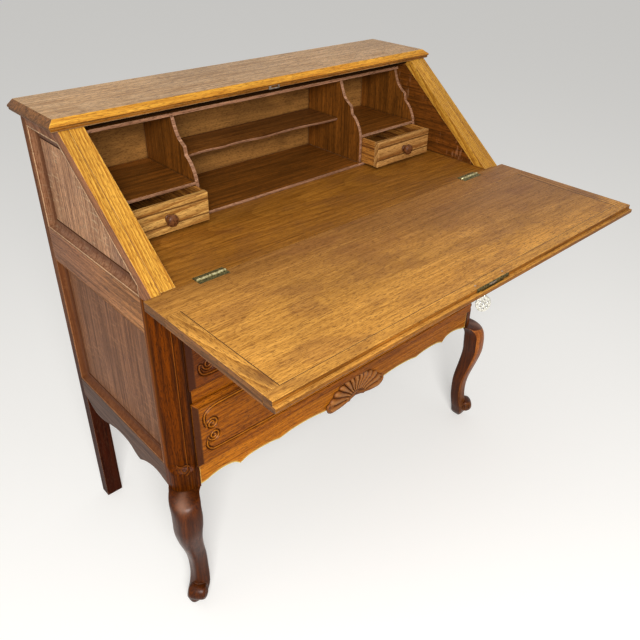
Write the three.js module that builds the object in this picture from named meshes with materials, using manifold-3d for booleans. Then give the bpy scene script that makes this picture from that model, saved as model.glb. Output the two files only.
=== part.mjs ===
// A slant-front bureau in oak on cabriole legs, with its fall open.
// Lengths are in millimetres. X runs to the right, Y to the back and Z up.
// While the pieces are placed, the case's back plane is y = 0, its middle x = 0 and the floor z = 0.

import * as THREE from 'three';
import { mergeVertices } from 'three/addons/utils/BufferGeometryUtils.js';
import Module from 'manifold-3d';

const wasm = await Module();
wasm.setup();

// Clearances
const FIT = 0.3; // between neighbours that are fixed to each other
const RUNNING = 0.7; // beside a drawer or a loper
const OVERRUN = 2; // by which a cutting tool passes a face

// Case
const CASE_WIDTH = 920.6;
const CASE_DEPTH = 419.2;
const LEG_HEIGHT = 314;
const APRON_HEIGHT = 60.7;
const LOWER_OPENING = 139.2;
const DRAWER_RAIL_HEIGHT = 43.2;
const UPPER_OPENING = 142.9;
const LOPER_RAIL_HEIGHT = 37.6;
const RAIL_THICKNESS = 22;
const BED_THICKNESS = 18;
const UPPER_CASE_HEIGHT = 202.2; // writing bed to the underside of the top
const SLOPE_DEGREES = 39.04;
const HINGE_SETBACK = 5.7; // face of the rails to the joint between bed and fall

// Top board
const TOP_THICKNESS = 19;
const TOP_SIDE_OVERHANG = 14.2;
const TOP_BACK_OVERHANG = 15;
const TOP_MOULDING_WIDTH = 12;
const TOP_RAIL_HEIGHT = 8;
const TOP_RAIL_SETBACK = 24;
const TOP_RAIL_DEPTH = 58; // top's front edge to the back of the rail

// Posts and side frames
const REAR_POST_WIDTH = 37.9;
const REAR_LEG_DEPTH = 28;
const REAR_STILE_DEPTH = 19.5;
const FRONT_POST_WIDTH = 46.3;
const FRONT_POST_DEPTH = 48.2;
const SIDE_THICKNESS = 18;
const SIDE_TOP_RAIL = 19.9;
const SLOPE_MEMBER_WIDTH = 22;
const SLOPE_CLEARANCE = 2; // between the closed fall and the edges that it lies on
const UPPER_RECESS_RISE = 2; // bed's underside above the foot of the upper panel
const SIDE_MID_RAIL = 67.2;
const SIDE_FOOT_RISE = 52; // leg joint to the foot of the lower panel
const SIDE_LEDGE_RISE = 5; // leg joint to the ledge of the rear post
const SIDE_RAIL_DROP = 17; // by which the shaped rail hangs below the leg joint
const FACING_WIDTH = 27.9;
const FACING_DEPTH = 20;
const LINING_SETBACK = 2.6;

// Sticking round the side panels
const GROOVE = 0.8;
const BEAD_WIDTH = 3;
const BEAD_RISE = 1;
const COVE_WIDTH = 8;
const PANEL_THICKNESS = 6;

// Back
const BACK_SETBACK = 10;
const BACK_THICKNESS = 12;
const BACK_BOARDS = 3; // one above another
const BACK_GROOVE = 3;

// Cabriole legs
const KNEE_REACH = 38; // from the case's corner, along the diagonal
const LEG_LEAN = 18; // by which the ankle stands inwards along the front
const SCROLL_RADIUS = 15;
const SCROLL_WIDTH = 37;
const SCROLL_EYE = 2;

// Shell on the apron
const SHELL_HALF_WIDTH = 90;
const SHELL_HEIGHT = 42;
const SHELL_RELIEF = 9;
const SHELL_RIBS = 7;
const APRON_ARCH = 14; // from the leg joint to the highest point of the lower edge

// Guide boards beside the drawers
const GUIDE_THICKNESS = 4.8;
const RUNNER_WIDTH = 13.9;
const RUNNER_HEIGHT = 20;

// Lopers that carry the open fall
const LOPER_WIDTH = 24;
const LOPER_HEIGHT = 28.1;
const LOPER_REAR_GAP = 34.2; // behind a loper that is pushed in
const LOPER_PULLED = 260;
const LOPER_CHEEK = 6.7;
const LOPER_SHELF = 7.2;

// Long drawers
const FRONT_PROUD = 12;
const FRONT_PLUG = 12;
const LIP_SIDE = 4;
const LIP_HEIGHT = 6;
const LIP_EDGE = 3.5;
const BEVEL_WIDTH = 10;
const BOX_SIDE = 10;
const BOX_BOTTOM = 6;
const BOX_HEADROOM = 9;
const BOX_REAR_GAP = 13;

// Fall
const FALL_OVERHANG = 14.7;
const FALL_END_CLEARANCE = 2.4;
const FALL_REAR_RAIL = 62;
const FALL_STILE = 28;
const FALL_FRONT_RAIL = 20;
const FALL_REBATE = 8;
const FALL_LIP = 6.5;
const FIELD_WIDTH = 22;
const FIELD_DEPTH = 4;
const FIELD_SETBACK = 3;

// Fall hinges
const HINGE_INSET = 126; // fall's end to the middle of a hinge
const HINGE_LENGTH = 60;
const HINGE_LEAF = 10;
const HINGE_PLATE = 1.5;
const KNUCKLE_RADIUS = 1.8;
const KNUCKLE_BORE = 1;
const HINGE_PIN_RADIUS = 0.7;
const KNUCKLE_ROOM = 0.8;

// Lock and key
const LOCK_OFFSET = -7; // from the middle of the fall
const LOCK_PLATE_WIDTH = 88;
const LOCK_PLATE_THICKNESS = 1.2;
const LOCK_BODY_WIDTH = 60;
const LOCK_BODY_DEPTH = 18.4;
const LOCK_BODY_HEIGHT = 9;
const KEY_SETBACK = 12; // from the fall's front edge
const KEY_SHANK_RADIUS = 1.8;
const KEY_BIT_REACH = 4.5;
const KEY_BIT_HEIGHT = 3;
const KEY_LENGTH = 33; // from the fall's underside to the middle of the bow's ring
const BOW_WIDTH = 25;
const BOW_HEIGHT = 31;
const BOW_THICKNESS = 2.4;
const BOW_TURN_DEGREES = -43;
const BOLT_WIDTH = 18;
const BOLT_THICKNESS = 4;
const BOLT_LENGTH = 7.2;
const STRIKE_DEPTH = 3.4;
const STRIKE_HEIGHT = 7;

// Pigeonhole unit and its two small drawers
const UNIT_SETBACK = 218.2; // face of the rails to the front of the dividers
const UNIT_OFFSET = -9; // the loose unit stands a little to the left
const UNIT_SIDE_GAP = 10.6;
const UNIT_TOP_GAP = 15.1;
const UNIT_BOARD = 6;
const UNIT_FLOOR_NOSE = 5;
const DIVIDER_THICKNESS = 7;
const COMPARTMENT_WIDTH = 175.1;
const SMALL_DRAWER_BAY = 58.3;
const MIDDLE_SHELF_RISE = 82.1;
const MIDDLE_SHELF_SETBACK = 79;
const MIDDLE_SHELF_WAVE = 4;
const SMALL_DRAWER_HEADROOM = 1.2;
const SMALL_FRONT = 12;
const SMALL_SIDE = 6;
const SMALL_BOTTOM = 4;
const SMALL_BOX_REAR_GAP = 16.7; // behind a small drawer that is pushed in
const SMALL_GROOVE = 1.2;
const SMALL_PULLED = { left: 40, right: 53 };

// Turned knobs
const SMALL_KNOB_RADIUS = 8.5;
const LONG_KNOB_RADIUS = 14;

// Steps on round pieces
const ROUND_STEPS = 20;
const FINE_STEPS = 12;
const CURVE_STEPS = 4;
const COVE_STEPS = 5;

// Levels and places worked out from the sizes above
const caseSide = CASE_WIDTH / 2;
const front = -CASE_DEPTH;
const apronTop = LEG_HEIGHT + APRON_HEIGHT;
const drawerRailFoot = apronTop + LOWER_OPENING;
const drawerRailTop = drawerRailFoot + DRAWER_RAIL_HEIGHT;
const loperRailFoot = drawerRailTop + UPPER_OPENING;
const loperRailTop = loperRailFoot + LOPER_RAIL_HEIGHT;
const bedUnderside = loperRailTop + FIT;
const bedTop = bedUnderside + BED_THICKNESS;
const topUnderside = bedTop + UPPER_CASE_HEIGHT;
const railBack = front + RAIL_THICKNESS;
const postBack = front + FRONT_POST_DEPTH;
const postInner = caseSide - FRONT_POST_WIDTH;
const rearPostInner = caseSide - REAR_POST_WIDTH;
const sideInner = caseSide - SIDE_THICKNESS;
const backFace = -BACK_SETBACK - BACK_THICKNESS;
const railEnd = postInner - FIT;

// The fall turns about the middle of its joint with the bed, just above the writing surface.
const hingeY = front + HINGE_SETBACK;
const hingeZ = bedTop;
const slope = Math.tan(THREE.MathUtils.degToRad(SLOPE_DEGREES));
const slopeSine = Math.sin(THREE.MathUtils.degToRad(SLOPE_DEGREES));
const closedPlaneY = (z) => hingeY + (z - hingeZ) / slope;
const slopeY = (z) => closedPlaneY(z) + SLOPE_CLEARANCE / slopeSine;
const slopeZ = (y) => hingeZ + (y - hingeY) * slope - SLOPE_CLEARANCE / Math.cos(Math.atan(slope));
const fallLength = UPPER_CASE_HEIGHT / slopeSine - FALL_END_CLEARANCE;
const fallFront = hingeY - fallLength;
const fallHalf = caseSide + FALL_OVERHANG;
const fallUnderside = bedUnderside;
const topFront = closedPlaneY(topUnderside);

// The unit's places
const facingInner = sideInner - FACING_WIDTH;
const liningInner = facingInner + LINING_SETBACK;
const unitHalf = liningInner - UNIT_SIDE_GAP;
const unitFront = front + UNIT_SETBACK;
const unitFloorTop = bedTop + UNIT_BOARD;
const unitTopBoard = topUnderside - UNIT_TOP_GAP - UNIT_BOARD;
const sideShelfFoot = unitFloorTop + SMALL_DRAWER_BAY;

const SIDES = { left: -1, right: 1 };

// Colours, as seen in daylight
const LOOKS = {
  topBoard: [0xa9825a, 0.35, 0],
  golden: [0xd9a23f, 0.5, 0],
  writing: [0xb8792f, 0.35, 0],
  side: [0x8a6350, 0.4, 0],
  post: [0x5a2a0e, 0.35, 0],
  apron: [0xb06a1c, 0.4, 0],
  drawer: [0x9a5a14, 0.4, 0],
  smallDrawer: [0xb58a45, 0.5, 0],
  interior: [0x8d5a24, 0.5, 0],
  raw: [0xa98b5e, 0.8, 0],
  bronze: [0x4a4630, 0.5, 1],
  steel: [0x8f8f8a, 0.4, 1],
  silver: [0xd8d6cc, 0.3, 1],
};

const bureau = new THREE.Group();
bureau.name = 'bureau';

// Adds one named piece to the bureau.
function piece(name, geometry, look) {
  const [color, roughness, metalness] = LOOKS[look];
  const mesh = new THREE.Mesh(geometry, new THREE.MeshStandardMaterial({ color, roughness, metalness }));
  mesh.name = name;
  bureau.add(mesh);
}

// Sorts two places across the case so that they run from low to high on either side.
function across(side, inner, outer) {
  return [side * inner, side * outer].sort((a, b) => a - b);
}

// A box between pairs of places.
function block([x0, x1], [y0, y1], [z0, z1]) {
  const box = new THREE.BoxGeometry(x1 - x0, y1 - y0, z1 - z0);
  return box.translate((x0 + x1) / 2, (y0 + y1) / 2, (z0 + z1) / 2);
}

// An outline carried along an axis: (y, z) along x, (x, z) along y, or (x, y) along z.
const AXIS_X = new THREE.Vector3(1, 0, 0);
const AXIS_Y = new THREE.Vector3(0, 1, 0);
const AXIS_Z = new THREE.Vector3(0, 0, 1);
const PRISM_FRAMES = {
  x: new THREE.Matrix4().makeBasis(AXIS_Y, AXIS_Z, AXIS_X),
  y: new THREE.Matrix4().makeBasis(AXIS_X, AXIS_Z, AXIS_Y.clone().negate()),
  z: new THREE.Matrix4(),
};

function prism(axis, outline, [low, high]) {
  const points = (list) => list.map(([u, v]) => new THREE.Vector2(u, v));
  const shape = outline instanceof THREE.Shape ? outline : new THREE.Shape(points(outline));
  const options = { depth: high - low, bevelEnabled: false, curveSegments: CURVE_STEPS };
  const body = new THREE.ExtrudeGeometry(shape, options);
  body.applyMatrix4(PRISM_FRAMES[axis]);
  const start = { x: [low, 0, 0], y: [0, high, 0], z: [0, 0, low] };
  return body.translate(...start[axis]);
}

// Turns the faces of a closed body outwards.
function facesOut(geometry) {
  const position = geometry.getAttribute('position');
  const index = geometry.getIndex();
  const corner = [0, 1, 2].map(() => new THREE.Vector3());
  let volume = 0;
  for (let i = 0; i < index.count; i += 3) {
    corner.forEach((point, k) => point.fromBufferAttribute(position, index.getX(i + k)));
    volume += corner[0].dot(corner[1].clone().cross(corner[2]));
  }
  if (volume < 0) {
    index.array.reverse();
  }
  return geometry;
}

// A closed body through layers of outlines with the same number of points. The place function
// turns a point of an outline and the layer's level into a point in space.
function loft(layers, place) {
  const count = layers[0].outline.length;
  const positions = [];
  const triangles = [];
  for (const { outline, level } of layers) {
    outline.forEach(([u, v]) => positions.push(...place(u, v, level)));
  }
  for (let k = 0; k + 1 < layers.length; k += 1) {
    for (let i = 0; i < count; i += 1) {
      const a = k * count + i;
      const b = k * count + ((i + 1) % count);
      triangles.push(a, b, b + count, a, b + count, a + count);
    }
  }
  const flat = (layer) => layer.outline.map(([u, v]) => new THREE.Vector2(u, v));
  const turn = Math.sign(THREE.ShapeUtils.area(flat(layers[0])));
  const cap = (layer, first, wanted) => {
    const points = flat(layer);
    for (const face of THREE.ShapeUtils.triangulateShape(points, [])) {
      const kept = Math.sign(THREE.ShapeUtils.area(face.map((i) => points[i]))) === wanted;
      triangles.push(...(kept ? face : face.toReversed()).map((i) => first + i));
    }
  };
  const last = layers.length - 1;
  cap(layers[0], 0, -turn);
  cap(layers[last], last * count, turn);
  const geometry = new THREE.BufferGeometry();
  geometry.setAttribute('position', new THREE.Float32BufferAttribute(positions, 3));
  geometry.setIndex(triangles);
  return facesOut(geometry);
}

// Moves every edge of a convex outline inwards by a distance.
function inset(outline, distance) {
  const points = outline.map(([u, v]) => new THREE.Vector2(u, v));
  const turn = Math.sign(THREE.ShapeUtils.area(points));
  const edges = points.map((point, i) => {
    const along = points[(i + 1) % points.length].clone().sub(point).normalize();
    const inward = new THREE.Vector2(-along.y, along.x).multiplyScalar(turn * distance);
    return { start: point.clone().add(inward), along };
  });
  return edges.map((edge, i) => {
    const before = edges[(i + edges.length - 1) % edges.length];
    const gap = edge.start.clone().sub(before.start);
    const reach = gap.cross(edge.along) / before.along.cross(edge.along);
    return before.start.clone().addScaledVector(before.along, reach).toArray();
  });
}

// Rectangles that differ from layer to layer, used for mouldings and bevels.
function rectangle([u0, u1], [v0, v1]) {
  return [[u0, v0], [u1, v0], [u1, v1], [u0, v1]];
}

// Booleans work on a closed body whose corners are shared and whose faces all have an area.
function solid(geometry) {
  const bare = geometry.clone();
  bare.deleteAttribute('normal');
  bare.deleteAttribute('uv');
  const merged = mergeVertices(bare);
  const corners = merged.getIndex().array;
  const faces = [];
  for (let i = 0; i < corners.length; i += 3) {
    const [a, b, c] = [corners[i], corners[i + 1], corners[i + 2]];
    if (a !== b && b !== c && c !== a) {
      faces.push(a, b, c);
    }
  }
  merged.setIndex(faces);
  facesOut(merged);
  return new wasm.Manifold(new wasm.Mesh({
    numProp: 3,
    vertProperties: new Float32Array(merged.getAttribute('position').array),
    triVerts: new Uint32Array(merged.getIndex().array),
  }));
}

function surface(body) {
  const mesh = body.getMesh();
  const geometry = new THREE.BufferGeometry();
  geometry.setAttribute('position', new THREE.Float32BufferAttribute(mesh.vertProperties, 3));
  geometry.setIndex([...mesh.triVerts]);
  return geometry;
}

function cut(geometry, tools) {
  return surface(tools.reduce((body, tool) => body.subtract(solid(tool)), solid(geometry)));
}

function join(geometries) {
  const [first, ...others] = geometries.map(solid);
  return surface(others.reduce((body, other) => body.add(other), first));
}

// A cylinder along an axis through a centre.
function rod(direction, radius, length, [x, y, z], steps = FINE_STEPS) {
  const cylinder = new THREE.CylinderGeometry(radius, radius, length, steps);
  cylinder.applyQuaternion(new THREE.Quaternion().setFromUnitVectors(AXIS_Y, direction));
  return cylinder.translate(x, y, z);
}

// A turned knob that stands out to the front from a face.
const KNOB_SHARES = [
  [0, 0.06], [0.94, 0.06], [0.94, -0.2], [0.5, -0.4], [0.5, -0.75], [0.82, -1], [1, -1.4], [0.97, -1.8],
  [0.75, -2.25], [0.4, -2.47], [0, -2.53],
];

function knob(radius, [x, y, z]) {
  const profile = KNOB_SHARES.map(([r, out]) => new THREE.Vector2(r * radius, out * radius));
  const turned = new THREE.LatheGeometry(profile.reverse(), FINE_STEPS);
  return turned.translate(x, y, z);
}

// Top board with a broad chamfer, a narrow rim and a step under it on the front and both ends
const TOP_PROFILE_SHARES = [
  // share of the moulding's width left inside, share of the board's thickness
  [0.3, 0], [0.17, 0.1], [0.17, 0.3], [0, 0.34], [0, 0.48], [0.06, 0.53], [0.94, 0.97], [1, 1],
];

function buildTop() {
  const outerX = caseSide + TOP_SIDE_OVERHANG;
  const layers = TOP_PROFILE_SHARES.map(([insideShare, heightShare]) => {
    const inside = insideShare * TOP_MOULDING_WIDTH;
    const half = outerX - inside;
    return {
      outline: rectangle([-half, half], [topFront + inside, TOP_BACK_OVERHANG]),
      level: topUnderside + heightShare * TOP_THICKNESS,
    };
  });
  const board = loft(layers, (x, y, z) => [x, y, z]);
  const middle = LOCK_OFFSET;
  const halfStrike = BOLT_WIDTH / 2 + RUNNING;
  const strike = block(
    [middle - halfStrike, middle + halfStrike],
    [topFront - OVERRUN, topFront + STRIKE_DEPTH],
    [topUnderside - OVERRUN, topUnderside + STRIKE_HEIGHT],
  );
  piece('top_board', cut(board, [strike]), 'topBoard');

  const foot = topUnderside - TOP_RAIL_HEIGHT;
  const rear = topFront + TOP_RAIL_DEPTH;
  piece('top_rail', prism('x', [
    [slopeY(foot) + TOP_RAIL_SETBACK, foot],
    [slopeY(topUnderside) + TOP_RAIL_SETBACK, topUnderside],
    [rear, topUnderside],
    [rear, foot],
  ], [-facingInner + FIT, facingInner - FIT]), 'interior');
}

// Rear posts run from the floor to the top and are thicker in the leg.
function buildRearPost(label, side) {
  const ledge = LEG_HEIGHT + SIDE_LEDGE_RISE;
  piece(`rear_post_${label}`, prism('x', [
    [0, 0],
    [-REAR_LEG_DEPTH, 0],
    [-REAR_LEG_DEPTH, ledge],
    [-REAR_STILE_DEPTH, ledge],
    [-REAR_STILE_DEPTH, topUnderside],
    [0, topUnderside],
  ], across(side, rearPostInner, caseSide)), 'side');
}

// Front posts have a broad, slightly rounded cant, a fillet and a cove beside the drawers.
const POST_SHARES = [
  // share of the width from the inner face, share of the depth from the back
  [1, 0], [1, 0.115], [0.963, 0.178], [0.832, 0.345], [0.66, 0.522], [0.465, 0.667], [0.378, 0.745],
  [0.341, 0.718], [0.248, 0.764], [0.162, 0.855], [0.136, 1], [0, 1], [0, 0],
];

function buildFrontPost(label, side) {
  const outline = POST_SHARES.map(([widthShare, depthShare]) => [
    side * (postInner + widthShare * FRONT_POST_WIDTH),
    postBack - depthShare * FRONT_POST_DEPTH,
  ]);
  piece(`front_post_${label}`, prism('z', outline, [LEG_HEIGHT, loperRailTop]), 'post');
}

// A square section with rounded corners, the outer one cut by its own amount.
const ROUND_CORNER_SHARE = 0.29;
const STRAIGHT_CORNER_SHARE = 0.5;
const PLAIN_CUT_SHARE = 0.18; // of the section's width, at the three corners that face the case

function legSection(side, half, outerCut, otherCut) {
  const corners = [[1, -1, outerCut], [1, 1, otherCut], [-1, 1, otherCut], [-1, -1, otherCut]];
  const points = [];
  corners.forEach(([sx, sy, corner], i) => {
    const straight = corner / (half + half);
    const share = ROUND_CORNER_SHARE + (STRAIGHT_CORNER_SHARE - ROUND_CORNER_SHARE) * straight;
    const alongX = [sx * (half - corner), sy * half];
    const middle = [sx * (half - share * corner), sy * (half - share * corner)];
    const alongY = [sx * half, sy * (half - corner)];
    points.push(...(i % 2 === 0 ? [alongX, middle, alongY] : [alongY, middle, alongX]));
  });
  return points.map(([x, y]) => [side * x, y]);
}

const LEG_SHARES = [
  // height, shift of the centre outwards in knee reaches, lean, width in post widths, outer corner's cut
  [1, -0.86, 0, 0.99, 0.94], [0.988, -0.4, 0.15, 0.99, 0.5], [0.966, -0.02, 0.35, 0.99, 0.28],
  [0.94, 0.2, 0.45, 0.985, 0.22], [0.905, 0.33, 0.52, 0.97, 0.2], [0.86, 0.37, 0.55, 0.955, 0.19],
  [0.8, 0.34, 0.55, 0.93, 0.19], [0.74, 0.3, 0.54, 0.9, 0.19], [0.67, 0.16, 0.53, 0.865, 0.19],
  [0.58, 0, 0.57, 0.82, 0.19], [0.5, -0.13, 0.66, 0.775, 0.19], [0.43, -0.22, 0.8, 0.73, 0.19],
  [0.36, -0.25, 0.9, 0.695, 0.19], [0.28, -0.24, 0.96, 0.68, 0.19], [0.215, -0.2, 1, 0.68, 0.2],
  [0.15, -0.1, 0.92, 0.7, 0.24], [0.09, -0.12, 0.6, 0.69, 0.28], [0.045, -0.25, 0.15, 0.62, 0.3],
  [0.012, -0.32, -0.15, 0.52, 0.3], [0, -0.34, -0.2, 0.46, 0.3],
];
const SCROLL_SHARES = [
  // radius, place along the scroll's half width
  [0, 1], [0.36, 1], [0.42, 0.97], [0.76, 0.97], [0.94, 0.86], [1, 0.6],
];
const SCROLL_OUT_SHARE = 0.46; // of the knee's reach
const SCROLL_LEAN_SHARE = 0.9;
const SCROLL_LIFT_SHARE = 0.132; // of the leg's height

function buildLeg(label, side) {
  const diagonal = Math.SQRT1_2;
  const place = (outShare, leanShare) => {
    const out = outShare * KNEE_REACH * diagonal;
    return [side * (caseSide + out - leanShare * LEG_LEAN), front - out];
  };
  const layers = LEG_SHARES.map(([heightShare, shiftShare, leanShare, widthShare, cutShare]) => {
    const half = (widthShare * FRONT_POST_WIDTH) / 2;
    const width = half + half;
    const [cx, cy] = place(shiftShare, leanShare);
    const plainShare = Math.min(PLAIN_CUT_SHARE, (1 - cutShare) / 2);
    const section = legSection(side, half, cutShare * width, plainShare * width);
    return {
      outline: section.map(([x, y]) => [cx + x, cy + y]),
      level: heightShare * LEG_HEIGHT,
    };
  });
  const shaft = loft(layers, (x, y, z) => [x, y, z]);
  const halfWidth = SCROLL_WIDTH / 2 + SCROLL_EYE;
  const ends = SCROLL_SHARES.map(([r, w]) => new THREE.Vector2(r * SCROLL_RADIUS, w * halfWidth));
  const profile = [...ends, ...ends.map((point) => new THREE.Vector2(point.x, -point.y)).reverse()];
  const scroll = new THREE.LatheGeometry(profile.reverse(), ROUND_STEPS);
  const axis = new THREE.Vector3(side * diagonal, diagonal, 0);
  scroll.applyQuaternion(new THREE.Quaternion().setFromUnitVectors(AXIS_Y, axis));
  const [sx, sy] = place(SCROLL_OUT_SHARE, SCROLL_LEAN_SHARE);
  scroll.translate(sx, sy, SCROLL_LIFT_SHARE * LEG_HEIGHT);
  piece(`front_leg_${label}`, join([shaft, scroll]), 'post');
}

// Side frame: a bent upper frame, a middle rail and a shaped bottom rail
const SIDE_RAIL_SHARES = [
  // share of the run from the rear leg to the front post, share of the hanging depth
  [[0.1, 0.95], [0.2, 1], [0.31, 0.5], [0.4, 0.12], [0.48, 0], [0.57, 0.15], [0.635, 0.7], [0.685, 0.9]],
  [[0.75, 0.35], [0.83, -0.08], [0.9, -0.16], [0.96, 0.05], [1, 0.2]],
];

function recessY(z) {
  return slopeY(z) + SLOPE_MEMBER_WIDTH / slopeSine;
}

function buildSideFrame(label, side) {
  const thickness = across(side, sideInner, caseSide);
  const stile = -REAR_STILE_DEPTH - FIT;
  const bedFront = hingeY + FIT;
  const topRailFoot = topUnderside - SIDE_TOP_RAIL;
  const recessCorner = slopeZ(postBack - SLOPE_MEMBER_WIDTH / slopeSine);
  piece(`side_upper_frame_${label}`, prism('x', [
    [stile, topUnderside],
    [slopeY(topUnderside), topUnderside],
    [bedFront, slopeZ(bedFront)],
    [bedFront, bedUnderside],
    [postBack, bedUnderside],
    [postBack, recessCorner],
    [recessY(topRailFoot), topRailFoot],
    [stile, topRailFoot],
  ], thickness), 'side');

  const recessFoot = bedUnderside - UPPER_RECESS_RISE;
  const midRailFoot = recessFoot - SIDE_MID_RAIL;
  const railFront = postBack + FIT;
  piece(`side_mid_rail_${label}`, block(thickness, [railFront, stile], [midRailFoot, recessFoot]), 'side');

  const panelFoot = LEG_HEIGHT + SIDE_FOOT_RISE;
  const ledge = LEG_HEIGHT + SIDE_LEDGE_RISE + FIT;
  const legBack = -REAR_LEG_DEPTH - FIT;
  const run = railFront - legBack;
  const shape = new THREE.Shape();
  shape.moveTo(railFront, panelFoot);
  shape.lineTo(stile, panelFoot);
  shape.lineTo(stile, ledge);
  shape.lineTo(legBack, ledge);
  for (const lobe of SIDE_RAIL_SHARES) {
    shape.splineThru(lobe.map(([runShare, dropShare]) => new THREE.Vector2(
      legBack + runShare * run,
      LEG_HEIGHT + SIDE_LEDGE_RISE - dropShare * (SIDE_RAIL_DROP + SIDE_LEDGE_RISE),
    )));
  }
  piece(`side_bottom_rail_${label}`, prism('x', shape, thickness), 'side');

  const upper = [
    [-REAR_STILE_DEPTH, recessFoot],
    [postBack, recessFoot],
    [postBack, recessCorner],
    [recessY(topRailFoot), topRailFoot],
    [-REAR_STILE_DEPTH, topRailFoot],
  ];
  const lower = rectangle([postBack, -REAR_STILE_DEPTH], [panelFoot, midRailFoot]);
  piece(`side_upper_panel_${label}`, stuckPanel(side, upper), 'side');
  piece(`side_lower_panel_${label}`, stuckPanel(side, lower), 'side');
}

// A flat panel with a bead and a cove round it, set in from the frame by a thin groove.
function stuckPanel(side, opening) {
  const recess = SIDE_THICKNESS - PANEL_THICKNESS;
  const coveStart = GROOVE + BEAD_WIDTH;
  const quarter = BEAD_WIDTH / 4;
  const steps = [
    [GROOVE, SIDE_THICKNESS],
    [GROOVE, BEAD_RISE],
    [GROOVE + quarter, 0],
    [coveStart - quarter, 0],
    [coveStart, BEAD_RISE],
  ];
  for (let i = 0; i <= COVE_STEPS; i += 1) {
    const angle = (i / COVE_STEPS) * (Math.PI / 2);
    const coveTop = BEAD_RISE + BEAD_RISE;
    steps.push([
      coveStart + quarter + COVE_WIDTH * (1 - Math.cos(angle)),
      coveTop + (recess - coveTop) * Math.sin(angle),
    ]);
  }
  const layers = steps.map(([distance, depth]) => ({ outline: inset(opening, distance), level: depth }));
  return loft(layers, (y, z, depth) => [side * (caseSide - depth), y, z]);
}

// Sloping facings that the closed fall lies on, and the boards that line the inside
function buildFacing(label, side) {
  const depth = FACING_DEPTH / slopeSine;
  piece(`slope_facing_${label}`, prism('x', [
    [slopeY(bedTop), bedTop],
    [slopeY(topUnderside), topUnderside],
    [slopeY(topUnderside) + depth, topUnderside],
    [slopeY(bedTop) + depth, bedTop],
  ], across(side, facingInner, sideInner - FIT)), 'golden');

  const behind = depth + FIT / slopeSine;
  piece(`inner_lining_${label}`, prism('x', [
    [backFace - FIT, bedTop],
    [slopeY(bedTop) + behind, bedTop],
    [slopeY(topUnderside) + behind, topUnderside],
    [backFace - FIT, topUnderside],
  ], across(side, liningInner, rearPostInner - FIT)), 'interior');
}

// Pockets for the leaves and knuckles of a hinge, in the bed or in the fall
function hingePockets(centre, toward) {
  const reach = (near, far) => [hingeY + toward * near, hingeY + toward * far].sort((a, b) => a - b);
  const length = [centre - HINGE_LENGTH / 2 - FIT, centre + HINGE_LENGTH / 2 + FIT];
  const room = KNUCKLE_RADIUS + KNUCKLE_ROOM;
  return [
    block(length, reach(-OVERRUN, room), [hingeZ - room, hingeZ + OVERRUN]),
    block(length, reach(0, room + HINGE_LEAF), [bedTop - HINGE_PLATE - FIT, bedTop + OVERRUN]),
  ];
}

const hingeCentres = Object.values(SIDES).map((side) => side * (fallHalf - HINGE_INSET));

function buildBedAndBack() {
  const half = sideInner - FIT;
  const bed = block([-half, half], [hingeY + FIT, backFace - FIT], [bedUnderside, bedTop]);
  piece('writing_bed', cut(bed, hingeCentres.flatMap((centre) => hingePockets(centre, 1))), 'writing');

  const backHalf = rearPostInner - FIT;
  const backFoot = LEG_HEIGHT + RUNNER_HEIGHT;
  const boardHeight = (topUnderside - backFoot) / BACK_BOARDS;
  const joints = [...Array(BACK_BOARDS - 1).keys()].map((i) => backFoot + (i + 1) * boardHeight);
  const notch = BACK_GROOVE / 2;
  const insideFace = joints.flatMap((z) => [
    [backFace, z - notch], [backFace + notch, z], [backFace, z + notch],
  ]);
  const outsideFace = joints.toReversed().flatMap((z) => [
    [-BACK_SETBACK, z + notch], [-BACK_SETBACK - notch, z], [-BACK_SETBACK, z - notch],
  ]);
  piece('back_boards', prism('x', [
    [backFace, backFoot],
    ...insideFace,
    [backFace, topUnderside],
    [-BACK_SETBACK, topUnderside],
    ...outsideFace,
    [-BACK_SETBACK, backFoot],
  ], [-backHalf, backHalf]), 'raw');
}

// Front rails between the posts
const loperCentre = railEnd - RUNNING - GUIDE_THICKNESS - RUNNING - LOPER_WIDTH / 2;
const loperFoot = loperRailTop - LOPER_HEIGHT;

function buildFrontRails() {
  const width = [-railEnd, railEnd];
  const depth = [front, railBack];
  const halfNotch = LOPER_WIDTH / 2 + FIT;
  const notches = Object.values(SIDES).map((side) => block(
    [side * loperCentre - halfNotch, side * loperCentre + halfNotch],
    [front - OVERRUN, railBack + OVERRUN],
    [loperFoot - FIT, loperRailTop + OVERRUN],
  ));
  piece('loper_rail', cut(block(width, depth, [loperRailFoot, loperRailTop]), notches), 'drawer');
  piece('drawer_rail', block(width, depth, [drawerRailFoot, drawerRailTop]), 'drawer');
}

// Apron with its shaped lower edge and carved shell
const APRON_SHARES = [
  // share of the half width, share of the arch above the leg joint; each list ends on a cusp
  [[0.967, 0.45], [0.93, 0.78], [0.868, 1], [0.81, 0.72], [0.775, -0.1]],
  [[0.725, 0.4], [0.658, 0.52], [0.58, 0.4], [0.527, 0.08]],
  [[0.45, 0.42], [0.36, 0.5], [0.28, 0.35], [0.218, 0.1]],
];
const SHELL_FAN_DEGREES = 150;
const RIB_LENGTH_SHARE = 0.52; // half a rib in shell heights
const RIB_WIDTH_SHARE = 0.16;
const LEAF_WIDTH_SHARE = 0.22;
const LEAF_SHARES = [
  // reach and lift of the root, length of the leaf, share of a quarter turn from upright
  [0.28, 0.1, 0.26, 0.87], [0.55, 0.02, 0.24, 1.11], [0.5, 0.2, 0.2, 0.67],
];
const LOBE_STEPS = 8;
const LOBE_RINGS = 6;

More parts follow.
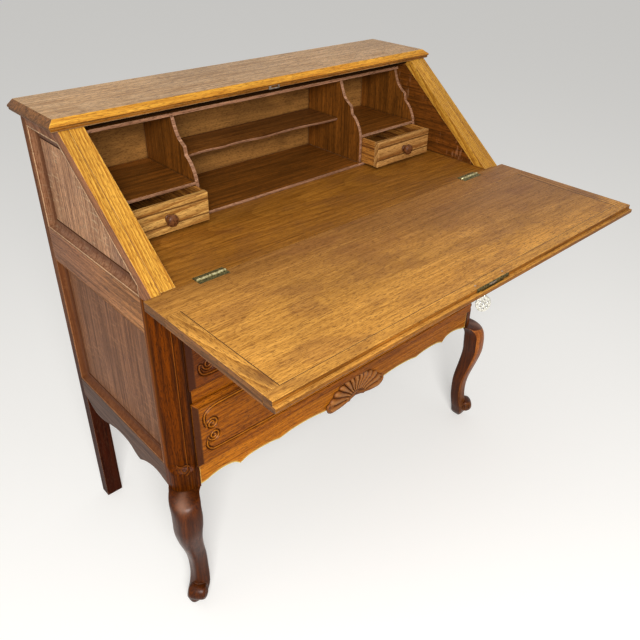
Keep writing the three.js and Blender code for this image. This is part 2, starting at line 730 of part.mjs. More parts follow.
// A long rounded lobe that starts at the shell's root and points up, turned by an angle.
function shellLobe(turn, halfLength, halfWidth) {
  const lobe = new THREE.SphereGeometry(1, LOBE_STEPS, LOBE_RINGS);
  lobe.scale(halfWidth, halfLength, SHELL_RELIEF);
  lobe.translate(0, halfLength, 0);
  lobe.rotateX(Math.PI / 2);
  lobe.rotateY(turn);
  return lobe.translate(0, front, LEG_HEIGHT);
}

function buildApron() {
  const edge = (share, arch) => new THREE.Vector2(share * railEnd, LEG_HEIGHT + arch * APRON_ARCH);
  const shape = new THREE.Shape();
  const rimShare = 0.36;
  shape.moveTo(railEnd, apronTop);
  shape.lineTo(railEnd, LEG_HEIGHT + rimShare * APRON_ARCH);
  for (const lobe of APRON_SHARES) {
    shape.splineThru(lobe.map(([widthShare, archShare]) => edge(widthShare, archShare)));
  }
  const mirrored = APRON_SHARES.toReversed().map((lobe, i, lobes) => {
    const start = i + 1 < lobes.length ? lobes[i + 1].at(-1) : [1, rimShare];
    return [...lobe.slice(0, -1).toReversed(), start];
  });
  const [innerShare, innerArch] = APRON_SHARES.at(-1).at(-1);
  const inner = edge(-innerShare, innerArch);
  shape.lineTo(inner.x, inner.y);
  for (const lobe of mirrored) {
    shape.splineThru(lobe.map(([widthShare, archShare]) => edge(-widthShare, archShare)));
  }
  shape.lineTo(-railEnd, apronTop);
  const board = prism('y', shape, [front, railBack]);

  const lobes = [];
  const ribLength = SHELL_HEIGHT * RIB_LENGTH_SHARE;
  for (let i = 0; i < SHELL_RIBS; i += 1) {
    const fan = THREE.MathUtils.degToRad(SHELL_FAN_DEGREES * (i / (SHELL_RIBS - 1) - 1 / 2));
    lobes.push(shellLobe(fan, ribLength, SHELL_HEIGHT * RIB_WIDTH_SHARE));
  }
  for (const side of Object.values(SIDES)) {
    for (const [reachShare, liftShare, lengthShare, turnShare] of LEAF_SHARES) {
      const leaf = shellLobe(
        side * turnShare * (Math.PI / 2),
        SHELL_HALF_WIDTH * lengthShare,
        SHELL_HEIGHT * LEAF_WIDTH_SHARE,
      );
      lobes.push(leaf.translate(side * reachShare * SHELL_HALF_WIDTH, 0, liftShare * SHELL_HEIGHT));
    }
  }
  piece('apron', join([board, ...lobes]), 'apron');
}

// Guide boards: drawer runners below, a shelf and a cheek for the loper on top
function buildGuide(label, side) {
  const outer = railEnd;
  const inner = outer - GUIDE_THICKNESS;
  const runner = inner - RUNNER_WIDTH;
  const cheek = loperCentre - LOPER_WIDTH / 2 - FIT - FIT;
  const shelfTop = loperFoot - FIT;
  const outline = [
    [outer, apronTop - RUNNER_HEIGHT],
    [outer, loperRailTop],
    [inner, loperRailTop],
    [inner, shelfTop],
    [cheek, shelfTop],
    [cheek, loperRailTop],
    [cheek - LOPER_CHEEK, loperRailTop],
    [cheek - LOPER_CHEEK, shelfTop - LOPER_SHELF],
    [inner, shelfTop - LOPER_SHELF],
    [inner, drawerRailTop],
    [runner, drawerRailTop],
    [runner, drawerRailTop - RUNNER_HEIGHT],
    [inner, drawerRailTop - RUNNER_HEIGHT],
    [inner, apronTop],
    [runner, apronTop],
    [runner, apronTop - RUNNER_HEIGHT],
  ].map(([x, z]) => [side * x, z]);
  piece(`drawer_guide_${label}`, prism('y', outline, [railBack + FIT, backFace - FIT]), 'raw');
}

// Lopers, drawn out under the open fall
function buildLoper(label, side) {
  const tip = front - LOPER_PULLED;
  const bar = block(
    [side * loperCentre - LOPER_WIDTH / 2, side * loperCentre + LOPER_WIDTH / 2],
    [tip, tip + CASE_DEPTH - LOPER_REAR_GAP],
    [loperFoot, loperRailTop],
  );
  const pull = knob(SMALL_KNOB_RADIUS, [side * loperCentre, tip, loperFoot + LOPER_HEIGHT / 2]);
  piece(`loper_${label}`, join([bar, pull]), 'drawer');
}

// An open box behind a drawer's front
function drawerBox([x0, x1], [y0, y1], [z0, z1], wall, bottom) {
  const hollow = block([x0 + wall, x1 - wall], [y0 - OVERRUN, y1 - wall], [z0 + bottom, z1 + OVERRUN]);
  return cut(block([x0, x1], [y0, y1], [z0, z1]), [hollow]);
}

const LONG_KNOB_SHARE = 0.6; // of the drawer's half width

function buildLongDrawer(label, foot, head) {
  const plugHalf = postInner - RUNNING - RUNNING;
  const lipHalf = postInner + LIP_SIDE;
  const plugBack = front + FRONT_PLUG;
  const lipBack = front - FIT;
  const face = front - FRONT_PROUD;
  const plug = rectangle([-plugHalf, plugHalf], [foot + RUNNING, head - RUNNING]);
  const lip = rectangle([-lipHalf, lipHalf], [foot - LIP_HEIGHT, head + LIP_HEIGHT]);
  const bevelStep = (FRONT_PROUD - LIP_EDGE) / 2;
  const layers = [
    { outline: plug, level: plugBack },
    { outline: plug, level: lipBack },
    { outline: lip, level: lipBack },
    { outline: lip, level: front - LIP_EDGE },
    { outline: inset(lip, BEVEL_WIDTH / 4), level: front - LIP_EDGE - bevelStep },
    { outline: inset(lip, BEVEL_WIDTH), level: face },
  ];
  const board = loft(layers, (x, z, y) => [x, y, z]);
  const middle = (foot + head) / 2;
  const knobs = Object.values(SIDES).map((side) => (
    knob(LONG_KNOB_RADIUS, [side * LONG_KNOB_SHARE * lipHalf, face, middle])
  ));
  piece(`long_drawer_${label}_front`, join([board, ...knobs]), 'drawer');

  const boxHalf = railEnd - GUIDE_THICKNESS - RUNNING;
  piece(`long_drawer_${label}_box`, drawerBox(
    [-boxHalf, boxHalf],
    [plugBack, backFace - BOX_REAR_GAP],
    [foot + FIT, head - BOX_HEADROOM],
    BOX_SIDE,
    BOX_BOTTOM,
  ), 'raw');
}

// Pigeonhole unit: floor, top, dividers with shaped fronts, and shelves
const DIVIDER_SHARES = [
  // share of the unit's depth, share of the divider's height; the last list is the upper hollow
  [[1, 0.3]],
  [[0.985, 0.4], [0.945, 0.49], [0.89, 0.565], [0.829, 0.613]],
  [[0.812, 0.706], [0.722, 0.766], [0.664, 0.84], [0.603, 1]],
];

function dividerShape() {
  const depth = backFace - FIT - unitFront;
  const height = unitTopBoard - unitFloorTop;
  const at = ([depthShare, heightShare]) => new THREE.Vector2(
    backFace - FIT - depthShare * depth,
    unitFloorTop + heightShare * height,
  );
  const [edge, round, hollow] = DIVIDER_SHARES.map((points) => points.map(at));
  const shape = new THREE.Shape();
  shape.moveTo(backFace - FIT, unitFloorTop);
  shape.lineTo(unitFront, unitFloorTop);
  shape.lineTo(edge[0].x, edge[0].y);
  shape.splineThru(round);
  shape.lineTo(hollow[0].x, hollow[0].y);
  shape.splineThru(hollow.slice(1));
  shape.lineTo(backFace - FIT, unitTopBoard);
  return shape;
}

function dividerPlaces() {
  const step = DIVIDER_THICKNESS + COMPARTMENT_WIDTH;
  const low = UNIT_OFFSET - unitHalf;
  const high = UNIT_OFFSET + unitHalf - DIVIDER_THICKNESS;
  return [low, low + step, high - step, high];
}

function buildUnit() {
  const rear = backFace - FIT;
  const width = [UNIT_OFFSET - unitHalf, UNIT_OFFSET + unitHalf];
  const topReach = DIVIDER_SHARES.at(-1).at(-1)[0] * (rear - unitFront) + UNIT_BOARD;
  piece('unit_floor', block(width, [unitFront - UNIT_FLOOR_NOSE, rear], [bedTop, unitFloorTop]), 'interior');
  const lid = [unitTopBoard, unitTopBoard + UNIT_BOARD];
  piece('unit_top', block(width, [rear - topReach, rear], lid), 'interior');

  const places = dividerPlaces();
  places.forEach((x, i) => {
    piece(`unit_divider_${i + 1}`, prism('x', dividerShape(), [x, x + DIVIDER_THICKNESS]), 'interior');
  });
  const bays = places.slice(0, -1).map((x, i) => [x + DIVIDER_THICKNESS + FIT, places[i + 1] - FIT]);
  const shelf = [sideShelfFoot, sideShelfFoot + UNIT_BOARD];
  piece('unit_shelf_left', block(bays[0], [unitFront, rear], shelf), 'interior');
  piece('unit_shelf_right', block(bays[2], [unitFront, rear], shelf), 'interior');
  piece('unit_shelf_middle', middleShelf(bays[1], rear), 'interior');
}

// The middle shelf has a waved front edge.
const WAVE_SHARES = [[0, 0.4], [0.12, 0.9], [0.25, 0.1], [0.38, -0.8], [0.5, -1]];

function middleShelf([x0, x1], rear) {
  const nose = unitFront + MIDDLE_SHELF_SETBACK;
  const mirrored = WAVE_SHARES.slice(0, -1).toReversed().map(([share, wave]) => [1 - share, wave]);
  const edge = [...WAVE_SHARES, ...mirrored].map(([share, wave]) => new THREE.Vector2(
    x0 + share * (x1 - x0),
    nose + wave * MIDDLE_SHELF_WAVE,
  ));
  const shape = new THREE.Shape();
  shape.moveTo(x1, rear);
  shape.lineTo(x0, rear);
  shape.lineTo(edge[0].x, edge[0].y);
  shape.splineThru(edge.slice(1));
  const foot = unitFloorTop + MIDDLE_SHELF_RISE;
  return prism('z', shape, [foot, foot + UNIT_BOARD]);
}

// Small drawers: a front with two grooves and a knob, and an open box
const GROOVE_SHARES = [0.26, 0.77];

function buildSmallDrawer(label, bay) {
  const foot = unitFloorTop + FIT;
  const head = sideShelfFoot - SMALL_DRAWER_HEADROOM;
  const face = unitFront - SMALL_PULLED[label];
  const width = [bay + RUNNING, bay + COMPARTMENT_WIDTH - RUNNING];
  const boxFront = face + SMALL_FRONT;
  const boxLength = backFace - FIT - SMALL_BOX_REAR_GAP - unitFront - SMALL_FRONT;
  const grooves = GROOVE_SHARES.flatMap((share) => {
    const z = foot + share * (head - foot);
    return [[face, z - SMALL_GROOVE], [face + SMALL_GROOVE, z], [face, z + SMALL_GROOVE]];
  });
  const board = prism('x', [
    [boxFront, foot],
    [face, foot],
    ...grooves,
    [face, head],
    [boxFront, head],
  ], width);
  const centre = [(width[0] + width[1]) / 2, face, (foot + head) / 2];
  piece(`small_drawer_${label}_front`, join([board, knob(SMALL_KNOB_RADIUS, centre)]), 'smallDrawer');
  piece(`small_drawer_${label}_box`, drawerBox(
    width,
    [boxFront, boxFront + boxLength],
    [foot, head],
    SMALL_SIDE,
    SMALL_BOTTOM,
  ), 'raw');
}

// Fall: rear rail, two stiles, panel and a lipped front rail
const LOCK_DEPTH_SHARE = 0.8; // of the lock's body, below the middle of the rebate
const lockFoot = bedTop - FALL_REBATE / 2 - LOCK_DEPTH_SHARE * LOCK_BODY_HEIGHT;
const LIP_ROUND_SHARES = [[1, 0.36], [0.7, 0.1], [0.25, 0]]; // of the lip's reach and the height below it

function buildFall() {
  const width = [-fallHalf, fallHalf];
  const rearRailFront = hingeY - FALL_REAR_RAIL;
  const frontRailBack = fallFront + FALL_FRONT_RAIL;
  const height = [fallUnderside, bedTop];
  const rearRail = block(width, [rearRailFront, hingeY - FIT], height);
  const pockets = hingeCentres.flatMap((centre) => hingePockets(centre, -1));
  piece('fall_rear_rail', cut(rearRail, pockets), 'writing');

  const between = [frontRailBack + FIT, rearRailFront - FIT];
  const stileInner = fallHalf - FALL_STILE;
  for (const [label, side] of Object.entries(SIDES)) {
    piece(`fall_stile_${label}`, block(across(side, stileInner, fallHalf), between, height), 'writing');
  }

  const field = rectangle([-stileInner + FIT, stileInner - FIT], between);
  const edgeFoot = fallUnderside + FIELD_SETBACK + FIELD_DEPTH;
  piece('fall_panel', loft([
    { outline: field, level: bedTop },
    { outline: field, level: edgeFoot },
    { outline: inset(field, FIELD_WIDTH), level: fallUnderside + FIELD_SETBACK },
  ], (x, y, z) => [x, y, z]), 'writing');

  const ledge = bedTop - FALL_REBATE;
  const lipFoot = ledge - fallUnderside;
  const frontRail = prism('x', [
    [frontRailBack, fallUnderside],
    [frontRailBack, bedTop],
    [fallFront, bedTop],
    [fallFront, ledge],
    [fallFront - FALL_LIP, ledge],
    ...LIP_ROUND_SHARES.map(([out, up]) => [fallFront - out * FALL_LIP, fallUnderside + up * lipFoot]),
  ], width);
  const bodyHalf = LOCK_BODY_WIDTH / 2 + FIT;
  const pocket = block(
    [LOCK_OFFSET - bodyHalf, LOCK_OFFSET + bodyHalf],
    [fallFront - OVERRUN, fallFront + LOCK_BODY_DEPTH + FIT],
    [lockFoot - FIT, lockFoot + LOCK_BODY_HEIGHT + FIT],
  );
  const keyhole = rod(AXIS_Z, KEY_SHANK_RADIUS + RUNNING, BED_THICKNESS, [
    LOCK_OFFSET, fallFront + KEY_SETBACK, fallUnderside,
  ]);
  piece('fall_front_rail', cut(frontRail, [pocket, keyhole]), 'writing');
}

// Hinge leaves let into the bed and the fall; the pin is fixed in the bed's knuckles
function buildHinge(label, centre) {
  const plate = (toward) => {
    const reach = [toward * (KNUCKLE_RADIUS + KNUCKLE_ROOM / 2), toward * (KNUCKLE_RADIUS + HINGE_LEAF)];
    const places = reach.map((y) => hingeY + y).sort((a, b) => a - b);
    return block([centre - HINGE_LENGTH / 2, centre + HINGE_LENGTH / 2], places, leafHeight);
  };
  const leafHeight = [bedTop - HINGE_PLATE, bedTop];
  const third = HINGE_LENGTH / 3;
  const knuckle = third - FIT;
  const tab = (x, toward) => {
    const near = toward * (KNUCKLE_BORE + FIT);
    const places = [near, toward * (KNUCKLE_RADIUS + KNUCKLE_ROOM)].map((y) => hingeY + y);
    return block([x - knuckle / 2, x + knuckle / 2], places.sort((a, b) => a - b), leafHeight);
  };
  const barrel = (x) => rod(AXIS_X, KNUCKLE_RADIUS, knuckle, [x, hingeY, hingeZ]);
  const outer = [centre - third - FIT / 2, centre + third + FIT / 2];
  const pin = rod(AXIS_X, HINGE_PIN_RADIUS, HINGE_LENGTH, [centre, hingeY, hingeZ]);
  const bedLeaf = [plate(1), pin, ...outer.flatMap((x) => [tab(x, 1), barrel(x)])];
  piece(`hinge_bed_leaf_${label}`, join(bedLeaf), 'bronze');
  const bore = rod(AXIS_X, KNUCKLE_BORE, HINGE_LENGTH, [centre, hingeY, hingeZ]);
  const fallLeaf = join([plate(-1), tab(centre, -1), barrel(centre)]);
  piece(`hinge_fall_leaf_${label}`, cut(fallLeaf, [bore]), 'bronze');
}

// Lock in the fall's front edge, its bolt, and the key that hangs below
const boltFoot = bedTop - FALL_REBATE / 2 - BOLT_THICKNESS / 2;

function buildLock() {
  const plateFace = fallFront - LOCK_PLATE_THICKNESS;
  const keyY = fallFront + KEY_SETBACK;
  const middle = (half) => [LOCK_OFFSET - half, LOCK_OFFSET + half];
  const body = block(
    middle(LOCK_BODY_WIDTH / 2),
    [fallFront - LOCK_PLATE_THICKNESS / 2, fallFront + LOCK_BODY_DEPTH],
    [lockFoot, lockFoot + LOCK_BODY_HEIGHT],
  );
  const plate = block(
    middle(LOCK_PLATE_WIDTH / 2),
    [plateFace, fallFront],
    [bedTop - FALL_REBATE + FIT, bedTop - FIT],
  );
  const channel = block(
    middle(BOLT_WIDTH / 2 + FIT),
    [plateFace - OVERRUN, plateFace + BOLT_LENGTH + FIT],
    [boltFoot - FIT, boltFoot + BOLT_THICKNESS + FIT],
  );
  const bitFoot = lockFoot + LOCK_BODY_HEIGHT / 3;
  const chamber = rod(AXIS_Z, KEY_BIT_REACH + FIT, KEY_BIT_HEIGHT + FIT + FIT, [
    LOCK_OFFSET, keyY, bitFoot + KEY_BIT_HEIGHT / 2,
  ]);
  const entry = rod(AXIS_Z, KEY_SHANK_RADIUS + FIT, LOCK_BODY_HEIGHT, [LOCK_OFFSET, keyY, lockFoot]);
  piece('lock_case', cut(join([body, plate]), [channel, chamber, entry]), 'bronze');
  piece('lock_bolt', block(
    middle(BOLT_WIDTH / 2),
    [plateFace, plateFace + BOLT_LENGTH],
    [boltFoot, boltFoot + BOLT_THICKNESS],
  ), 'steel');

  const bowZ = fallUnderside - KEY_LENGTH;
  const shankTop = bitFoot + KEY_BIT_HEIGHT;
  const shankFoot = bowZ + BOW_HEIGHT / 2 - KEY_SHANK_RADIUS;
  const shank = rod(AXIS_Z, KEY_SHANK_RADIUS, shankTop - shankFoot, [0, 0, (shankTop + shankFoot) / 2]);
  const collar = rod(AXIS_Z, KEY_SHANK_RADIUS + FIT + FIT, KEY_BIT_HEIGHT, [0, 0, bowZ + BOW_HEIGHT / 2]);
  const bit = block([0, KEY_BIT_REACH], [-KEY_SHANK_RADIUS / 2, KEY_SHANK_RADIUS / 2], [bitFoot, shankTop]);
  const turn = THREE.MathUtils.degToRad(BOW_TURN_DEGREES);
  const key = join([shank, collar, bit, keyBow(bowZ)]).rotateZ(turn);
  piece('key', key.translate(LOCK_OFFSET, keyY, 0), 'silver');
}

// The key's flat bow: an oval with a scalloped rim, pierced by one ring of holes and a middle one
const BOW_SCALLOPS = 8;
const BOW_RIM_SHARE = 0.07;
const BOW_HOLES = 6;
const BOW_HOLE_RING_SHARE = 0.56;
const BOW_HOLE_SHARE = 0.17;
const BOW_STEPS = 48;

function keyBow(level) {
  const oval = (angle, share) => new THREE.Vector2(
    (Math.cos(angle) * share * BOW_WIDTH) / 2,
    level + (Math.sin(angle) * share * BOW_HEIGHT) / 2,
  );
  const rim = [...Array(BOW_STEPS).keys()].map((i) => {
    const angle = (i / BOW_STEPS) * Math.PI * 2;
    return oval(angle, 1 - BOW_RIM_SHARE * (1 - Math.abs(Math.cos((angle * BOW_SCALLOPS) / 2))));
  });
  const shape = new THREE.Shape(rim);
  const radius = (BOW_HOLE_SHARE * BOW_WIDTH) / 2;
  const centres = [...Array(BOW_HOLES).keys()].map((i) => {
    return oval(((i + 1 / 2) / BOW_HOLES) * Math.PI * 2, BOW_HOLE_RING_SHARE);
  });
  for (const centre of [...centres, oval(0, 0)]) {
    const hole = new THREE.Path();
    hole.absarc(centre.x, centre.y, radius, 0, Math.PI * 2, true);
    shape.holes.push(hole);
  }
  return prism('y', shape, [-BOW_THICKNESS / 2, BOW_THICKNESS / 2]);
}

buildTop();
for (const [label, side] of Object.entries(SIDES)) {
  buildRearPost(label, side);
  buildFrontPost(label, side);
  buildLeg(label, side);
  buildSideFrame(label, side);
  buildFacing(label, side);
  buildGuide(label, side);
  buildLoper(label, side);
}
buildBedAndBack();
buildFrontRails();
buildApron();
buildLongDrawer('lower', apronTop, drawerRailFoot);
buildLongDrawer('upper', drawerRailTop, loperRailFoot);
buildUnit();
const [firstDivider, , thirdDivider] = dividerPlaces();
buildSmallDrawer('left', firstDivider + DIVIDER_THICKNESS);
buildSmallDrawer('right', thirdDivider + DIVIDER_THICKNESS);
buildFall();
Object.keys(SIDES).forEach((label, i) => buildHinge(label, hingeCentres[i]));
buildLock();

// The bureau stands on the floor with its origin under the middle of its length and width.
bureau.position.y = -(TOP_BACK_OVERHANG + fallFront - FALL_LIP) / 2;

export default bureau;
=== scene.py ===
"""Looks of an oak slant-front bureau that stands with its fall open.

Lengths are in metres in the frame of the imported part: X to the right, Y to the back, Z up.
"""

import logging
import math
from collections.abc import Callable, Sequence
from dataclasses import dataclass
from enum import Enum

import bmesh
import bpy
import numpy as np
from mathutils import Matrix, Vector


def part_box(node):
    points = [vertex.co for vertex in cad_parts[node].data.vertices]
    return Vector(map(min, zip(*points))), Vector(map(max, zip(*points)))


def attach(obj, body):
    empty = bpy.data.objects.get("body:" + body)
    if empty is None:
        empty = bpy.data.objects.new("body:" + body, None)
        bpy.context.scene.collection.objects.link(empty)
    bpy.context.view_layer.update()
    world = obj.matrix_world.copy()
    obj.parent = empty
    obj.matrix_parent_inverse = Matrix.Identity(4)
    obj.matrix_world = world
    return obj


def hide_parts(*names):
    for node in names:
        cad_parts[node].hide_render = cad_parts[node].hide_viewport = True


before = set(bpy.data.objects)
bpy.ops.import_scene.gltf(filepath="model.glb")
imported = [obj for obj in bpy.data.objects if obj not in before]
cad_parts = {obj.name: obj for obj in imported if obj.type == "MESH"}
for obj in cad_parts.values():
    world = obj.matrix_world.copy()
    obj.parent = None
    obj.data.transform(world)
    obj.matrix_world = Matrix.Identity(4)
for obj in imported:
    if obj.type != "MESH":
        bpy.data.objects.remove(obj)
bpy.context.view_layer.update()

MM = 0.001
LOG = logging.getLogger("bureau")
SIDES = {"left": -1, "right": 1}
Point = tuple[float, float, float]
Solid = tuple[list[Point], list[tuple[int, ...]]]
Outline = list[tuple[float, float]]
Tree = bpy.types.NodeTree
Socket = bpy.types.NodeSocket
FORWARDS = (0.0, -1.0, 0.0)
SIDEWAYS = (1.0, 0.0, 0.0)
UPWARDS = (0.0, 0.0, 1.0)


def linear(hex_colour: int) -> tuple[float, float, float, float]:
    """Turns an sRGB hex colour to linear light.

    Args:
        hex_colour: The colour as 0xRRGGBB.

    Returns:
        Red, green, blue and an alpha of 1.
    """
    channels = []
    for shift in (16, 8, 0):
        value = ((hex_colour >> shift) & 0xFF) / 0xFF
        channels.append(value / 12.92 if value <= 0.04045 else ((value + 0.055) / 1.055) ** 2.4)
    return (channels[0], channels[1], channels[2], 1.0)


def add_node(tree: Tree, kind: str, inputs: dict | None = None, **settings) -> bpy.types.Node:
    """Adds one shader node, gives it its settings and fills its inputs.

    Args:
        tree: The node tree that gets the node.
        kind: The node's type name, without the ShaderNode in front of it.
        inputs: Socket name or index to a value, or to the output that feeds it.
        settings: Attributes of the node.

    Returns:
        The new node.
    """
    node = tree.nodes.new(f"ShaderNode{kind}")
    for name, value in settings.items():
        setattr(node, name, value)
    for name, value in (inputs or {}).items():
        socket = node.inputs[name]
        if isinstance(value, Socket):
            tree.links.new(value, socket)
        else:
            socket.default_value = value
    return node


def new_material(name: str) -> tuple[bpy.types.Material, Tree]:
    """Makes an empty node material.

    Args:
        name: The material's name.

    Returns:
        The material and its node tree.
    """
    material = bpy.data.materials.new(name)
    material.use_nodes = True
    material.node_tree.nodes.clear()
    return material, material.node_tree


SLOPE = math.radians(39.04)


class Grain(Enum):
    """Which way a board's fibres run, as the turn that lays them along the pattern's X."""

    ALONG_X = (0.0, 0.0, 0.0)
    ALONG_Y = (0.0, 0.0, -math.pi / 2)
    ALONG_Z = (0.0, math.pi / 2, 0.0)
    DOWN_SLOPE = (-SLOPE, 0.0, -math.pi / 2)


@dataclass(frozen=True)
class Figure:
    """One layer of a wood's figure: how long and wide its marks are, and where they begin and end."""

    along: float
    across: float
    low: float
    high: float
    detail: float = 2.0

    def mask(self, tree: Tree, fibres: Socket) -> Socket:
        """Draws the layer.

        Args:
            tree: The material's tree.
            fibres: The place on the board, with X along the fibres.

        Returns:
            A value from 0 to 1.
        """
        stretch = (1 / self.along, 1 / self.across, 1 / self.across)
        scaled = add_node(tree, "VectorMath", {0: fibres, 1: stretch}, operation="MULTIPLY")
        noise = add_node(tree, "TexNoise", {
            "Vector": scaled.outputs[0], "Scale": 1.0, "Detail": self.detail, "Roughness": 0.55,
        })
        level = add_node(tree, "MapRange", {
            "Value": noise.outputs["Fac"], "From Min": self.low, "From Max": self.high,
        })
        return level.outputs["Result"]


@dataclass(frozen=True)
class Surface:
    """The sockets that a finish gives its shader."""

    colour: Socket
    roughness: Socket
    height: Socket


@dataclass(frozen=True)
class ToneGradient:
    """How a board's colour changes from one place to another: painted light and shade on some boards, a plain
    change of tone on others.
    """

    along: tuple[float, float, float]
    start: float
    end: float
    first: tuple[float, float, float, float]
    last: tuple[float, float, float, float]

    def tinted(self, tree: Tree, colour: Socket) -> Socket:
        """Tints a colour.

        Args:
            tree: The material's tree.
            colour: The board's own colour.

        Returns:
            The tinted colour.
        """
        place = add_node(tree, "TexCoord")
        way = add_node(tree, "VectorMath", {
            0: place.outputs["Object"], 1: self.along,
        }, operation="DOT_PRODUCT")
        share = add_node(tree, "MapRange", {
            "Value": way.outputs["Value"], "From Min": self.start, "From Max": self.end,
        }, interpolation_type="SMOOTHSTEP")
        tint = add_node(tree, "Mix", {
            "Factor": share.outputs["Result"], "A": self.first, "B": self.last,
        }, data_type="RGBA")
        return add_node(tree, "Mix", {
            "Factor": 1.0, "A": colour, "B": tint.outputs["Result"],
        }, data_type="RGBA", blend_type="MULTIPLY").outputs["Result"]


DEEP_SHADOW = 0x1A0A04
STREAK_LENGTH = 110 * MM
# Real pores are about 0.3 mm wide; these are drawn several times coarser, so that they show
PORE_WIDTH = 1.3 * MM
CLOUDS = Figure(260 * MM, 120 * MM, 0.3, 0.7)
CLOUD_VALUES = (0.84, 1.16)
RING_SPREAD = 0.17
BROAD_SHARE = 0.2
# shares of the painted highlight and wear on ridges, and of the painted shade and dirt in hollows
RIDGE_HIGHLIGHT_AND_WEAR, HOLLOW_SHADE_AND_DIRT = 0.9, 0.92
# How far apart in the tree two boards were cut, and how a board's fibres sway
BOARD_SHIFT = (7.0, 3.0, 5.0)
SWAY_RATE = (1 / 0.5, 1 / 0.09, 1 / 0.09)
SWAY = (0.0, 7 * MM, 7 * MM)
# How a log's heart runs askew and bends, and Blender's waves for each metre at a scale of 1
HEART_TILT = (0.0, math.radians(5.0), math.radians(1.2))
HEART_BEND = (0.0, 16 * MM, 14 * MM)
WAVES_PER_SCALE = 0.314
DENTS = Figure(7 * MM, 4 * MM, 0.7, 0.74, 1.0)
# The rays lie across the fibres, in patches
RAYS = Figure(5 * MM, 26 * MM, 0.58, 0.66, 1.0)
RAY_PATCHES = Figure(150 * MM, 60 * MM, 0.42, 0.58, 1.0)


class Finish:
    """A wood finish that draws a surface and shades it."""

    def build(self) -> bpy.types.Material:
        """Makes the finish's material."""
        material, tree = new_material(self.name)
        self.shade(tree, self.surface(tree))
        return material


